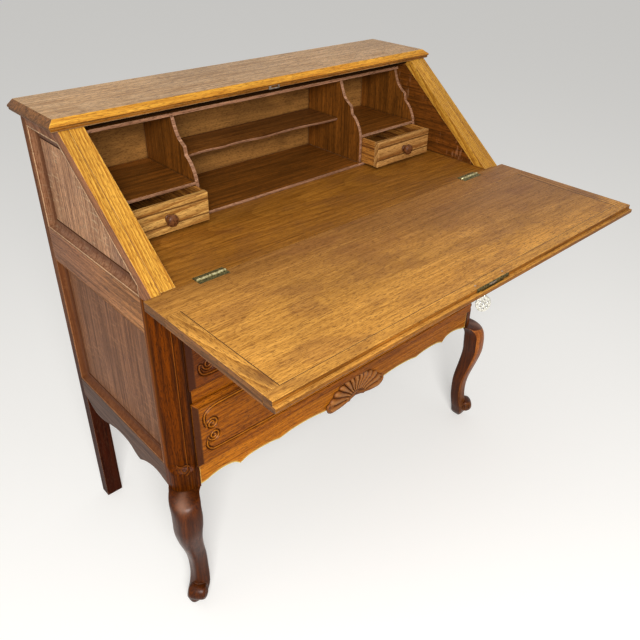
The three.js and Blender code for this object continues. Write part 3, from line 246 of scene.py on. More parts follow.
@dataclass(frozen=True)
class PolishedOak(Finish):
    """Oak, planed, stained and polished with shellac, then waxed.

    The eye sees growth rings as arcs and bands, darker streaks of late wood, short open pores, silver
    rays on quartered boards, blotches where the stain has gone darker, paler wood where hands have
    worn the edges, and a soft sheen over it all. Corners and recesses are darkened with painted shade.
    The tones of a carved piece add painted highlights and wear on ridges, painted shade and dirt in
    the hollows, and the painted deep shadow of a quirk too narrow to light.
    """

    name: str
    light: int
    dark: int
    pore: int
    worn: int
    grain: Grain
    roughness: float = 0.42
    gloss: float = 0.12
    coat: float = 0.03
    rays: float = 0.0
    wear: float = 0.6
    contrast: float = 1.0
    ring_width: float = 9 * MM
    ring_length: float = 600 * MM
    ring_share: float = 0.2
    streak_width: float = 4 * MM
    heart: tuple[float, float] | None = None
    blotch: int | None = None
    blotch_amount: float = 0.5
    blotch_place: tuple[float, float] = (0.5, 0.62)
    dents: float = 0.0
    tone_gradient: ToneGradient | None = None
    pore_share: float = 0.65
    pore_length: float = 11 * MM
    pore_depth: float = 0.12 * MM
    edge_width: float = 1.4 * MM
    # strength and reach of the painted shade in corners and recesses
    recess_shade: float = 0.8
    recess_shade_reach: float = 7 * MM

    def shade(self, tree: Tree, surface: Surface) -> None:
        """Joins a surface to the shader and the output.

        Args:
            tree: The material's tree.
            surface: The colour, roughness and height.
        """
        bump = add_node(tree, "Bump", {
            "Height": surface.height, "Strength": 0.5, "Distance": self.pore_depth,
        }, invert=True)
        shader = add_node(tree, "BsdfPrincipled", {
            "Base Color": surface.colour,
            "Roughness": surface.roughness,
            "Specular IOR Level": self.gloss,
            "Coat Weight": self.coat,
            "Coat Roughness": 0.28,
            "Normal": bump.outputs["Normal"],
        })
        add_node(tree, "OutputMaterial", {"Surface": shader.outputs[0]})

    def surface(self, tree: Tree) -> Surface:
        """Draws the wood.

        Args:
            tree: The material's tree.

        Returns:
            Its colour, roughness and height.
        """
        fibres = self._fibres(tree)
        spread = RING_SPREAD / self.contrast
        rings = Figure(self.ring_length, self.ring_width, 0.5 - spread, 0.5 + spread, 3.0)
        streaks = Figure(STREAK_LENGTH, self.streak_width, 0.5 - spread, 0.5 + spread, 4.0)
        pores = Figure(self.pore_length, PORE_WIDTH, 0.53, 0.6, 3.0)
        growth = self._growth(tree) if self.heart else rings.mask(tree, fibres)
        banded = add_node(tree, "Math", {
            0: growth, 1: self.ring_share, 2: 0.0,
        }, operation="MULTIPLY_ADD")
        broad = add_node(tree, "Math", {
            0: rings.mask(tree, fibres), 1: BROAD_SHARE, 2: banded.outputs[0],
        }, operation="MULTIPLY_ADD")
        streaked = add_node(tree, "Math", {
            0: streaks.mask(tree, fibres), 1: 1 - BROAD_SHARE - self.ring_share, 2: broad.outputs[0],
        }, operation="MULTIPLY_ADD")
        figured = add_node(tree, "MapRange", {
            "Value": streaked.outputs[0], "From Min": 0.2, "From Max": 0.8,
        }).outputs["Result"]
        wood = add_node(tree, "Mix", {
            "Factor": figured, "A": linear(self.dark), "B": linear(self.light),
        }, data_type="RGBA")
        cloud = CLOUDS.mask(tree, fibres)
        colour = add_node(tree, "HueSaturation", {
            "Color": wood.outputs["Result"],
            "Value": add_node(tree, "MapRange", {
                "Value": cloud, "To Min": CLOUD_VALUES[0], "To Max": CLOUD_VALUES[1],
            }).outputs["Result"],
        }).outputs[0]
        if self.tone_gradient:
            colour = self.tone_gradient.tinted(tree, colour)
        if self.blotch is not None:
            low, high = self.blotch_place
            stain = Figure(STREAK_LENGTH, 60 * MM, low, high, 4.0).mask(tree, fibres)
            colour = self._laid_over(tree, colour, stain, self.blotch_amount, self.blotch)
        pore_mask = pores.mask(tree, fibres)
        colour = self._laid_over(tree, colour, pore_mask, self.pore_share, self.pore)
        if self.dents:
            colour = self._laid_over(tree, colour, DENTS.mask(tree, fibres), self.dents, self.pore)
        if self.rays:
            seen = add_node(tree, "Math", {
                0: RAYS.mask(tree, fibres), 1: RAY_PATCHES.mask(tree, fibres),
            }, operation="MULTIPLY")
            colour = self._laid_over(tree, colour, seen.outputs[0], self.rays, self.worn)
        # carving tones: below 0 painted highlight and wear, 0 to 1 painted shade and dirt, 1 to 2 painted deep
        # shadow
        carving = add_node(tree, "Attribute", attribute_name="carving").outputs["Fac"]
        ridge, hollow, quirk_shadow = (add_node(tree, "MapRange", {
            "Value": carving, "From Min": start, "From Max": end,
        }).outputs["Result"] for start, end in ((0.0, -1.0), (0.0, 1.0), (1.0, 2.0)))
        # laid in order: worn edges, painted highlight and wear on ridges, painted shade and dirt in hollows,
        # painted shade in recesses, painted deep shadow in quirks
        for mask, amount, tone in (
            (self._edges(tree, cloud), 1.0, self.worn), (ridge, RIDGE_HIGHLIGHT_AND_WEAR, self.worn),
            (hollow, HOLLOW_SHADE_AND_DIRT, self.pore),
            (self._painted_recess_shade(tree), self.recess_shade, self.pore), (quirk_shadow, 1.0, DEEP_SHADOW),
        ):
            colour = self._laid_over(tree, colour, mask, amount, tone)
        rough = add_node(tree, "MapRange", {
            "Value": figured, "To Min": self.roughness + 0.08, "To Max": self.roughness - 0.05,
        })
        return Surface(colour, rough.outputs["Result"], pore_mask)

    def _laid_over(self, tree: Tree, colour: Socket, mask: Socket, amount: float, hex_colour: int) -> Socket:
        """Lays a colour over another where a mask is.

        Args:
            tree: The material's tree.
            colour: The colour below.
            mask: Where the new colour goes, from 0 to 1.
            amount: How much of it goes there.
            hex_colour: The new colour.

        Returns:
            The colour of both.
        """
        share = add_node(tree, "Math", {0: mask, 1: amount}, operation="MULTIPLY")
        return add_node(tree, "Mix", {
            "Factor": share.outputs[0], "A": colour, "B": linear(hex_colour),
        }, data_type="RGBA").outputs["Result"]

    def _turned(self, tree: Tree) -> Socket:
        """Lays the fibres along X.

        Args:
            tree: The material's tree.

        Returns:
            The place on the board.
        """
        place = add_node(tree, "TexCoord")
        return add_node(tree, "Mapping", {
            "Vector": place.outputs["Object"], "Rotation": self.grain.value,
        }).outputs[0]

    def _fibres(self, tree: Tree) -> Socket:
        """Lays the fibres along X, shifts each board to its own place in the tree, and bends them a little.

        Args:
            tree: The material's tree.

        Returns:
            The place on the board.
        """
        board = add_node(tree, "ObjectInfo")
        shift = add_node(tree, "VectorMath", {
            0: board.outputs["Random"], 1: BOARD_SHIFT, 2: self._turned(tree),
        }, operation="MULTIPLY_ADD")
        sway = add_node(tree, "VectorMath", {
            0: shift.outputs[0], 1: SWAY_RATE,
        }, operation="MULTIPLY")
        noise = add_node(tree, "TexNoise", {"Vector": sway.outputs[0], "Scale": 1.0, "Detail": 1.0})
        bent = add_node(tree, "VectorMath", {
            0: noise.outputs["Color"], 1: SWAY, 2: shift.outputs[0],
        }, operation="MULTIPLY_ADD")
        return bent.outputs[0]

    def _growth(self, tree: Tree) -> Socket:
        """Cuts the board from a log whose heart runs close by, so that its rings show as arcs.

        Args:
            tree: The material's tree.

        Returns:
            A value that falls slowly and rises sharply from ring to ring.
        """
        across, under = self.heart
        moved = add_node(tree, "VectorMath", {
            0: self._turned(tree), 1: (0.0, across, under),
        }, operation="SUBTRACT")
        tilt = add_node(tree, "Mapping", {
            "Vector": moved.outputs[0], "Rotation": HEART_TILT,
        }, vector_type="POINT")
        bend = add_node(tree, "TexNoise", {"Vector": tilt.outputs[0], "Scale": 3.0, "Detail": 1.0})
        bent = add_node(tree, "VectorMath", {
            0: bend.outputs["Color"], 1: HEART_BEND, 2: tilt.outputs[0],
        }, operation="MULTIPLY_ADD")
        rings = add_node(tree, "TexWave", {
            "Vector": bent.outputs[0], "Scale": WAVES_PER_SCALE / self.ring_width, "Distortion": 0.6,
            "Detail": 2.0, "Detail Scale": 1.5,
        }, wave_type="RINGS", rings_direction="X", wave_profile="SAW")
        return rings.outputs["Fac"]

    def _painted_recess_shade(self, tree: Tree) -> Socket:
        """Finds the corners and hollows that nearby surfaces shade, for painted shade.

        Args:
            tree: The material's tree.

        Returns:
            How dark each place is.
        """
        open_sky = add_node(tree, "AmbientOcclusion", {"Distance": self.recess_shade_reach}, samples=6)
        return add_node(tree, "MapRange", {
            "Value": open_sky.outputs["AO"], "From Min": 0.82, "From Max": 0.3,
        }).outputs["Result"]

    def _edges(self, tree: Tree, cloud: Socket) -> Socket:
        """Finds the edges that hands and cloths have rubbed.

        Args:
            tree: The material's tree.
            cloud: A broad mask that breaks the wear up.

        Returns:
            How worn each place is.
        """
        rounded = add_node(tree, "Bevel", {"Radius": self.edge_width}, samples=4)
        place = add_node(tree, "NewGeometry")
        flat = add_node(tree, "VectorMath", {
            0: rounded.outputs[0], 1: place.outputs["Normal"],
        }, operation="DOT_PRODUCT")
        edge = add_node(tree, "MapRange", {
            "Value": flat.outputs["Value"], "From Min": 0.995, "From Max": 0.86,
        })
        patchy = add_node(tree, "MapRange", {
            "Value": cloud, "To Min": self.wear * 0.6, "To Max": self.wear,
        })
        return add_node(tree, "Math", {
            0: edge.outputs["Result"], 1: patchy.outputs["Result"],
        }, operation="MULTIPLY").outputs[0]


@dataclass(frozen=True)
class TwoToneOak(Finish):
    """Oak whose faces on one side have another finish than the rest.

    The eye sees a strip where the board faces one way, and the plain finish round it: mostly painted
    light and shade, a lit or shaded copy of the finish on the faces that the light reaches or misses,
    and on the pigeonholes the rubbed front edges.
    """

    name: str
    rest: Finish
    facing: PolishedOak
    direction: tuple[float, float, float]
    limit: float = 0.9
    both_ways: bool = False

    def shade(self, tree: Tree, surface: Surface) -> None:
        """Joins a surface to the shader and the output, as the plain finish does.

        Args:
            tree: The material's tree.
            surface: The colour, roughness and height.
        """
        self.rest.shade(tree, surface)

    def surface(self, tree: Tree) -> Surface:
        """Draws both finishes and joins them by the way each face points.

        Args:
            tree: The material's tree.

        Returns:
            Their colour, roughness and height.
        """
        place = add_node(tree, "TexCoord")
        turn = add_node(tree, "VectorMath", {
            0: place.outputs["Normal"], 1: self.direction,
        }, operation="DOT_PRODUCT")
        value = turn.outputs["Value"]
        if self.both_ways:
            value = add_node(tree, "Math", {0: value}, operation="ABSOLUTE").outputs[0]
        mask = add_node(tree, "MapRange", {
            "Value": value, "From Min": self.limit - 0.04, "From Max": self.limit,
        }).outputs["Result"]
        one = self.rest.surface(tree)
        colour = add_node(tree, "Mix", {
            "Factor": mask, "A": one.colour, "B": self.facing.surface(tree).colour,
        }, data_type="RGBA")
        return Surface(colour.outputs["Result"], one.roughness, one.height)


@dataclass(frozen=True)
class AgedMetal:
    """Cast or rolled metal, tarnished and rubbed bright in small patches."""

    name: str
    bright: int
    tarnish: int
    roughness: float
    patch: float = 4 * MM

    def build(self) -> bpy.types.Material:
        """Makes the material.

        Returns:
            The finished material.
        """
        material, tree = new_material(self.name)
        place = add_node(tree, "TexCoord")
        patches = Figure(self.patch, self.patch, 0.35, 0.65, 4.0).mask(tree, place.outputs["Object"])
        colour = add_node(tree, "Mix", {
            "Factor": patches, "A": linear(self.tarnish), "B": linear(self.bright),
        }, data_type="RGBA")
        rough = add_node(tree, "MapRange", {
            "Value": patches, "To Min": self.roughness + 0.2, "To Max": self.roughness,
        })
        bump = add_node(tree, "Bump", {
            "Height": patches, "Strength": 0.3, "Distance": 0.1 * MM,
        })
        shader = add_node(tree, "BsdfPrincipled", {
            "Base Color": colour.outputs["Result"],
            "Metallic": 1.0,
            "Roughness": rough.outputs["Result"],
            "Normal": bump.outputs["Normal"],
        })
        add_node(tree, "OutputMaterial", {"Surface": shader.outputs[0]})
        return material


# Colours that daylight shows on each board: light wood, dark wood, pores and dirt, worn edges; the pore colour
# also paints the shade of recesses and hollows, and the worn colour the highlights on ridges
TOP = (0xDFB37F, 0xA77A49, 0x634429, 0xFDE892)
# Painted light: the top's chamfer, lit
LIT_CHAMFER = (0xEDAD3C, 0xBB7821, 0x804B13, 0xFAD67F)
GOLDEN = (0xD9A23E, 0xA1661C, 0x784812, 0xDDBC81)
BED = (0xA86E26, 0x75440D, 0x492709, 0xDEAA59)
WRITING = (0xD7903B, 0x995E1F, 0x5C320F, 0xEDB465)
SIDE = (0xB97644, 0x764728, 0x482918, 0xEAAA78)
SIDE_FOOT = (0x6D4121, 0x43240F, 0x281206, 0x996A40)
SIDE_UPPER = (0xE8B082, 0x9D6D4C, 0x5D3219, 0xFDE6B7)
SIDE_LOWER = (0xA5693A, 0x694022, 0x5C2F14, 0xD59662)
POST = (0x703301, 0x3D1901, 0x250C00, 0xAD6221)
LEG = (0x5E2B07, 0x371604, 0x1B0A03, 0xC39379)
# Painted light: the lit front of the right leg
LEG_LIT = (0xBF6E2C, 0x8D4816, 0x462005, 0xD6914B)
SHELL = (0x9B5922, 0x6C3811, 0x321706, 0xC3864C)
# Painted shade: the forward faces of the top's and the fall's front edges
EDGE = (0xA86B24, 0x6E3F0C, 0x462607, 0xD6A859)
RUBBED = (0xB8896A, 0x7E563C, 0x4A2E1C, 0xC89A78)
# Painted shade: near black, for the gap under the top and the fall's joints
GAP_SHADE = (0x2C1A0C, 0x180C04, 0x100802, 0x3C2614)
# End grain, painted darker as shade on the boards' ends
END = (0x96602C, 0x5C3816, 0x2C1A0C, 0xA87C4C)
APRON = (0xCF7C19, 0x954F0C, 0x613106, 0xFDE487)
DRAWER = (0xB5660D, 0x7E3E05, 0x391602, 0xCA7F26)
# Painted shade: the upper drawer front, in the fall's shade
DRAWER_IN_SHADE = (0x824109, 0x582603, 0x361402, 0xA35F1F)
SMALL = (0xE5B161, 0x9A652B, 0x613C15, 0xE9C38A)
SMALL_BOX = (0xB87A34, 0x6E3E16, 0x3E220C, 0xD2A468)
KNOB = (0x7A4A28, 0x4C2A14, 0x2C1608, 0x9A6A44)
INSIDE = (0x89501A, 0x56300C, 0x372008, 0xE8C0A0)
SHELF = (0x7B4B1F, 0x502C0E, 0x2C1404, 0xAB8463)
LINING = (0x7D4515, 0x4E2909, 0x311B06, 0xC0875E)
BACK = (0xAD793C, 0x774E25, 0x503013, 0xC49E6B)
BARE = (0xB08E5C, 0x8A6A3E, 0x5E4526, 0xBFA277)

# Painted light and shade on the writing side: darker by the joint, lighter towards its front and left edges
FALL_LIGHT_GRADIENT = ToneGradient((-0.25, -1.0, 0.0), 0.08, 0.34, (0.62, 0.66, 0.9, 1.0), (1.22, 1.42, 1.65, 1.0))
# The sides and rear posts are darker towards the floor
DARK_FOOT = ToneGradient(UPWARDS, 0.3, 0.75, (0.12, 0.045, 0.02, 1.0), (0.7, 0.68, 0.7, 1.0))
# The right small drawer is darker and browner at its right end
DARK_RIGHT = ToneGradient(SIDEWAYS, -0.3, 0.35, (0.87, 0.87, 0.87, 1.0), (0.74, 0.68, 0.75, 1.0))
# The side rails are paler towards the front
PALE_FRONT = ToneGradient(FORWARDS, -0.25, 0.03, (0.95, 1.0, 1.12, 1.0), (1.4, 1.55, 1.35, 1.0))
# The painted light on the right leg's front is darker towards the floor
LEG_LIGHT_DIMMING = ToneGradient(UPWARDS, 0.05, 0.25, (0.4, 0.4, 0.4, 1.0), (1.0, 1.0, 1.0, 1.0))

# Pale, with broad pale rings and many pores
TOP_OAK = PolishedOak("polished_oak_top", *TOP, Grain.ALONG_X, wear=0.5, heart=(0.25, 0.8), contrast=0.8,
                      ring_share=0.12, pore_share=0.8)
TOP_END = PolishedOak("polished_oak_top_end", *END, Grain.ALONG_X)
# Painted light: the chamfer is painted orange and bright as the top's lit face
LIT_CHAMFER_OAK = PolishedOak("oak_chamfer_painted_light", *LIT_CHAMFER, Grain.ALONG_X, wear=0.5)
# Golden, with fine close rings that run down the slope
SLOPE_OAK = PolishedOak("polished_oak_slope", *GOLDEN, Grain.DOWN_SLOPE, wear=0.5, contrast=1.2,
                        heart=(1.3, 0.0), ring_width=5 * MM, ring_share=0.5, streak_width=3 * MM)
SIDE_SLOPE_OAK = PolishedOak("polished_oak_side_slope", *SIDE, Grain.DOWN_SLOPE, streak_width=4 * MM)
# Arched rings and dark blotches on the fall's end boards
FALL_END = PolishedOak("polished_oak_fall_stile", *WRITING, Grain.ALONG_Y, wear=0.7, blotch=0x4A241C,
                       blotch_amount=0.6, blotch_place=(0.52, 0.7), heart=(0.405, 0.66), ring_width=9 * MM,
                       ring_share=0.5, tone_gradient=FALL_LIGHT_GRADIENT)
# Quiet grain, with small dents and old ink spots of the writing side
FALL_OAK = PolishedOak("polished_oak_fall", *WRITING, Grain.ALONG_X, contrast=0.5, heart=(-0.22, 0.69),
                       blotch=0x7A4A28, blotch_amount=0.35, dents=0.6, ring_width=11 * MM, ring_share=0.12,
                       streak_width=3 * MM, pore_share=0.6, tone_gradient=FALL_LIGHT_GRADIENT)
# Dark and glossy, with the grain nearly hidden
LEG_OAK = PolishedOak("polished_oak_leg", *LEG, Grain.ALONG_Z, roughness=0.34, gloss=0.08, coat=0.2,
                      contrast=0.8, pore_share=0.4)
LEG_LIT_OAK = PolishedOak("oak_leg_painted_light", *LEG_LIT, Grain.ALONG_Z, roughness=0.34, coat=0.1,
                            tone_gradient=LEG_LIGHT_DIMMING)
# Edges rubbed through the stain to a dull pink brown, and forward faces of front edges painted a darker warm
# brown as shade
RUBBED_EDGE = PolishedOak("rubbed_oak_edge", *RUBBED, Grain.ALONG_X)
SHADED_FRONT_EDGE = PolishedOak("oak_front_edge_painted_shade", *EDGE, Grain.ALONG_X)
# End grain has drunk the stain, so it is dark and dull; the sideways faces are painted darker still as shade
SHADED_END_GRAIN = PolishedOak("oak_end_grain_painted_shade", *END, Grain.ALONG_Y, wear=0.0, recess_shade=0.3)


def with_shaded_end_grain(name: str, board_oak: PolishedOak) -> TwoToneOak:
    """Gives a board of the fall its end grain, painted dark as shade.

    Args:
        name: The finish's name.
        board_oak: The board's own finish.

    Returns:
        The finish of the whole board.
    """
    return TwoToneOak(name, board_oak, SHADED_END_GRAIN, SIDEWAYS, 0.4, True)


def with_rubbed_edge(name: str, face: PolishedOak, limit: float = 0.6) -> TwoToneOak:
    """Gives a thin board of the pigeonholes its rubbed front edge.

    Args:
        name: The finish's name.
        face: The board's own finish.
        limit: How squarely a face looks forwards before it counts as the edge.

    Returns:
        The finish of the whole board.
    """
    return TwoToneOak(name, face, RUBBED_EDGE, FORWARDS, limit)


FINISHES = {
    # Pale top, with an orange chamfer below it painted as lit, a brown front edge painted as shade, and dark
    # ends of end grain painted as shade
    "top": TwoToneOak("polished_oak_top", TwoToneOak("polished_oak_top_front", TwoToneOak(
        "polished_oak_top_face", TOP_OAK, LIT_CHAMFER_OAK, (0.0, -0.707, 0.707), 0.9,
    ), SHADED_FRONT_EDGE, FORWARDS, 0.9), TOP_END, SIDEWAYS, 0.55, True),
    "slope": SLOPE_OAK,
    # Brown bed with arched rings, darker than the fall
    "writing": PolishedOak("polished_oak_bed", *BED, Grain.ALONG_X, wear=0.5, heart=(0.1, 0.62),
                           blotch=0x6E4326, blotch_amount=0.25, contrast=0.8, pore_share=0.5),
    "fall": with_shaded_end_grain("polished_oak_fall", FALL_OAK),
    "fall_front": TwoToneOak("polished_oak_fall_front", with_shaded_end_grain("polished_oak_fall_rail", FALL_OAK),
                             SHADED_FRONT_EDGE, FORWARDS, 0.7),
    "fall_end": with_shaded_end_grain("polished_oak_fall_end", FALL_END),
    # Pinkish brown sides, darker towards the floor
    "side_up": PolishedOak("polished_oak_side", *SIDE, Grain.ALONG_Z, tone_gradient=DARK_FOOT),
    # Duller than the sides and nearly black red at the foot
    "rear_post": PolishedOak("polished_oak_rear_post", *SIDE, Grain.ALONG_Z, roughness=0.45, gloss=0.04,
                             coat=0.01, tone_gradient=DARK_FOOT),
    # Quartered panels, the upper one blotched, with silver rays
    "side_upper": PolishedOak("polished_oak_upper_panel", *SIDE_UPPER, Grain.ALONG_Z, rays=0.35,
                              pore_share=0.75, blotch=0x8A6A5E, blotch_amount=0.35),
    "side_lower": PolishedOak("polished_oak_lower_panel", *SIDE_LOWER, Grain.ALONG_Z, rays=0.2,
                              pore_share=0.75),
    "side_across": PolishedOak("polished_oak_side_rail", *SIDE, Grain.ALONG_Y, tone_gradient=PALE_FRONT),
    "side_foot": PolishedOak("polished_oak_foot_rail", *SIDE_FOOT, Grain.ALONG_Y),
    # Side frame in the sides' brown, with its slope face painted golden as lit
    "side_slope": TwoToneOak("polished_oak_side_frame", SIDE_SLOPE_OAK, SLOPE_OAK,
                             (0.0, -math.sin(SLOPE), math.cos(SLOPE)), 0.97),
    # Dark red brown posts with strong streaks and little sheen
    "post": PolishedOak("polished_oak_post", *POST, Grain.ALONG_Z, roughness=0.4, gloss=0.05, coat=0.02,
                        contrast=1.2),
    "leg_left": LEG_OAK,
    # Painted light: the right leg's front is painted paler than its sides, as lit
    "leg_right": TwoToneOak("oak_right_leg_painted_light", LEG_OAK, LEG_LIT_OAK, FORWARDS, 0.55),
    # Orange brown front, with a pale line along the rubbed lower edge
    "apron": PolishedOak("polished_oak_apron", *APRON, Grain.ALONG_X, wear=1.0, edge_width=2.5 * MM),
    # Carving: painted highlights and wear on the ribs, painted shade and dirt in the flutes, and little grain
    "shell": PolishedOak("polished_oak_shell", *SHELL, Grain.ALONG_X, wear=0.9, pore_share=0.3,
                         recess_shade_reach=5 * MM, recess_shade=1.0),
    # Drawers with arched rings and painted shade along their mouldings; the upper one is painted darker as the
    # fall's shade
    "drawer": PolishedOak("polished_oak_drawer", *DRAWER, Grain.ALONG_X, heart=(-0.02, 0.45),
                          recess_shade_reach=5 * MM, recess_shade=1.0),
    "drawer_upper": PolishedOak("oak_upper_drawer_painted_shade", *DRAWER_IN_SHADE, Grain.ALONG_X, heart=(-0.02, 0.6),
                                recess_shade_reach=5 * MM, recess_shade=1.0),
    "loper": PolishedOak("polished_oak_loper", *DRAWER, Grain.ALONG_Y),
    # Waxed straw-coloured fronts with bold dark rings, and duller boxes
    "small": PolishedOak("waxed_oak_small_drawer", *SMALL, Grain.ALONG_X, contrast=1.7, heart=(-0.02, 0.70),
                         ring_share=0.55, ring_width=12 * MM, roughness=0.5, recess_shade_reach=4 * MM,
                         recess_shade=1.0, tone_gradient=DARK_RIGHT),
    "small_box": PolishedOak("waxed_oak_small_box", *SMALL_BOX, Grain.ALONG_Y, contrast=1.7, roughness=0.5),
    # Dark knobs with the shine of many hands
    "knob": PolishedOak("turned_oak_knob", *KNOB, Grain.ALONG_Y, roughness=0.35, coat=0.1),
    # Pigeonholes in red brown wax, with pinkish rubbed edges
    "inside_across": with_rubbed_edge("waxed_oak_shelf", PolishedOak(
        "waxed_oak_shelf_face", *INSIDE, Grain.ALONG_X)),
    "middle_shelf": with_rubbed_edge("waxed_oak_middle_shelf", PolishedOak(
        "waxed_oak_middle_shelf_face", *SHELF, Grain.ALONG_X)),
    "inside_up": with_rubbed_edge("waxed_oak_divider", PolishedOak(
        "waxed_oak_divider_face", *INSIDE, Grain.ALONG_Z, streak_width=3 * MM), 0.3),
    "inside_lining": PolishedOak("waxed_oak_lining", *LINING, Grain.ALONG_Y, rays=0.3),
    # Nearly black: painted shade on the top rail in the dark gap under the top, and painted shade with dirt in
    # the fall's joints
    "gap": PolishedOak("oak_painted_shade_dark", *GAP_SHADE, Grain.ALONG_X),
    # Pale dry boards with short pores and brown clouds
    "back": PolishedOak("waxed_oak_back", *BACK, Grain.ALONG_X, roughness=0.55, contrast=0.5,
                        pore_length=6 * MM, blotch=0x5A3A18, blotch_amount=0.4),
    # Bare wood with no polish, so with no sheen
    "bare_across": PolishedOak("bare_oak_across", *BARE, Grain.ALONG_X, coat=0.0, roughness=0.75),
    "bare_deep": PolishedOak("bare_oak_guide", *BARE, Grain.ALONG_Y, coat=0.0, roughness=0.75),
    # Olive brown bronze, yellow brass where the hinge's sleeve rubs, grey steel, and bright plate on the key
    "bronze": AgedMetal("tarnished_bronze", bright=0x8A8154, tarnish=0x2E2C1E, roughness=0.4),
    "bright_brass": AgedMetal("rubbed_brass", bright=0xE8DCA8, tarnish=0x6A6238, roughness=0.25),
    "steel": AgedMetal("worn_steel", bright=0xC8C0B4, tarnish=0x7A7266, roughness=0.35),
    "silver": AgedMetal("cast_silver_plate", bright=0xF2F0E6, tarnish=0x9A968A, roughness=0.22, patch=2 * MM),
}

# The finish of each node, by its name's longest beginning here
DRESS = {
    "top_board": "top", "top_rail": "gap", "rear_post": "rear_post", "front": "post",
    "side_upper_frame": "side_slope", "side_mid_rail": "side_across", "side_bottom_rail": "side_foot",
    "side": "side_up", "slope_facing": "slope", "inner_lining": "inside_lining",
    "drawer_guide": "bare_deep", "loper": "loper", "loper_rail": "drawer", "drawer_rail": "drawer",
    "writing_bed": "writing", "back_boards": "back", "apron": "apron",
    "long_drawer": "bare_across", "long_drawer_lower_front": "drawer", "long_drawer_upper_front": "drawer",
    "unit": "inside_across", "unit_divider": "inside_up", "unit_shelf_middle": "middle_shelf",
    "small_drawer": "small_box", "small_drawer_left_front": "small", "small_drawer_right_front": "small",
    "fall": "fall", "fall_front_rail": "fall_front", "fall_stile": "fall_end",
    "hinge": "bronze", "lock_case": "bronze", "lock_bolt": "steel", "key": "silver",
}


class Wardrobe:
    """Builds each finish once and hands it out."""

    def __init__(self) -> None:
        """Starts with no finish made."""
        self._made: dict[str, bpy.types.Material] = {}

    def get(self, key: str) -> bpy.types.Material:
        """Gives a finish's material.

        Args:
            key: The finish's name in FINISHES.

        Returns:
            The material.
        """
        if key not in self._made:
            self._made[key] = FINISHES[key].build()
        return self._made[key]

    def dress(self, piece: bpy.types.Object, key: str) -> None:
        """Gives a piece one finish in place of those it has.

        Args:
            piece: The object to dress.
            key: The finish's name.
        """
        piece.data.materials.clear()
        piece.data.materials.append(self.get(key))


@dataclass
class CarriedNodes:
    """The solids of the frame that are shown as they are, with softened edges and a finish."""

    edge: float = 0.6 * MM
    sharp: float = math.radians(35)
    weld: float = 0.01 * MM

    def finish_of(self, node: str) -> str:
        """Finds the finish of a node by its name's longest known beginning.

        Args:
            node: The node's name.

        Returns:
            The finish's name.
        """
        return DRESS[max((stem for stem in DRESS if node.startswith(stem)), key=len)]

    def build(self, wardrobe: Wardrobe) -> None:
        """Dresses every node.

        Args:
            wardrobe: Where the finishes come from.
        """
        for name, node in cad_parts.items():
            wardrobe.dress(node, self.finish_of(name))
            node.modifiers.new("weld", "WELD").merge_threshold = self.weld
            soften = node.modifiers.new("edge", "BEVEL")
            soften.width = self.edge
            soften.segments = 2
            soften.limit_method = "ANGLE"
            soften.angle_limit = self.sharp
            soften.use_clamp_overlap = True
            even = node.modifiers.new("even", "WEIGHTED_NORMAL")
            even.keep_sharp = False


# Solids

def between(rows: Sequence[tuple[float, ...]], steps: int) -> list[tuple[float, ...]]:
    """Fills a table with rows on a smooth curve through its own.

    Args:
        rows: The table.
        steps: How many rows each gap is divided into.

    Returns:
        The filled table, with the same first and last row.
    """
    padded = [rows[0], *rows, rows[-1]]
    filled = []
    for k in range(len(rows) - 1):
        before, start, end, after = padded[k:k + 4]
        for i in range(steps):
            t = i / steps
            filled.append(tuple(
                0.5 * (2 * q + (r - p) * t + (2 * p - 5 * q + 4 * r - s) * t ** 2
                       + (3 * q - p - 3 * r + s) * t ** 3)
                for p, q, r, s in zip(before, start, end, after)
            ))
    filled.append(tuple(rows[-1]))
    return filled


def rounded(outline: Outline, times: int) -> Outline:
    """Rounds a closed outline by cutting its corners again and again.

    Args:
        outline: The outline's points.
        times: How often it is cut.

    Returns:
        The rounder outline.
    """
    for _ in range(times):
        cut = []
        for (ax, ay), (bx, by) in zip(outline, outline[1:] + outline[:1]):
            cut.append((0.75 * ax + 0.25 * bx, 0.75 * ay + 0.25 * by))
            cut.append((0.25 * ax + 0.75 * bx, 0.25 * ay + 0.75 * by))
        outline = cut
    return outline


def loft(rings: list[list[Point]]) -> Solid:
    """Closes a body through rings with the same number of points.

    Args:
        rings: The rings in order.

    Returns:
        Its points and faces.
    """
    count = len(rings[0])
    points = [tuple(point) for ring in rings for point in ring]
    faces: list[tuple[int, ...]] = []
    for k in range(len(rings) - 1):
        for i in range(count):
            j = (i + 1) % count
            faces.append((k * count + i, k * count + j, (k + 1) * count + j, (k + 1) * count + i))
    faces.append(tuple(range(count)))
    faces.append(tuple(range((len(rings) - 1) * count, len(rings) * count)))
    return points, faces


def turned(profile: Outline, place: Vector, axis: Vector, steps: int = 40) -> Solid:
    """Turns a profile on the lathe.

    Args:
        profile: Radius and height of each step, from one end to the other.
        place: Where height 0 is.
        axis: The way that the height goes.
        steps: The number of points round.

    Returns:
        The body's points and faces.
    """
    turn = axis.to_track_quat("Z", "Y")
    rings = []
    for radius, height in profile:
        ring = []
        for i in range(steps):
            angle = 2 * math.pi * i / steps
            ring.append(tuple(place + turn @ Vector((
                radius * math.cos(angle), radius * math.sin(angle), height,
            ))))
        rings.append(ring)
    return loft(rings)


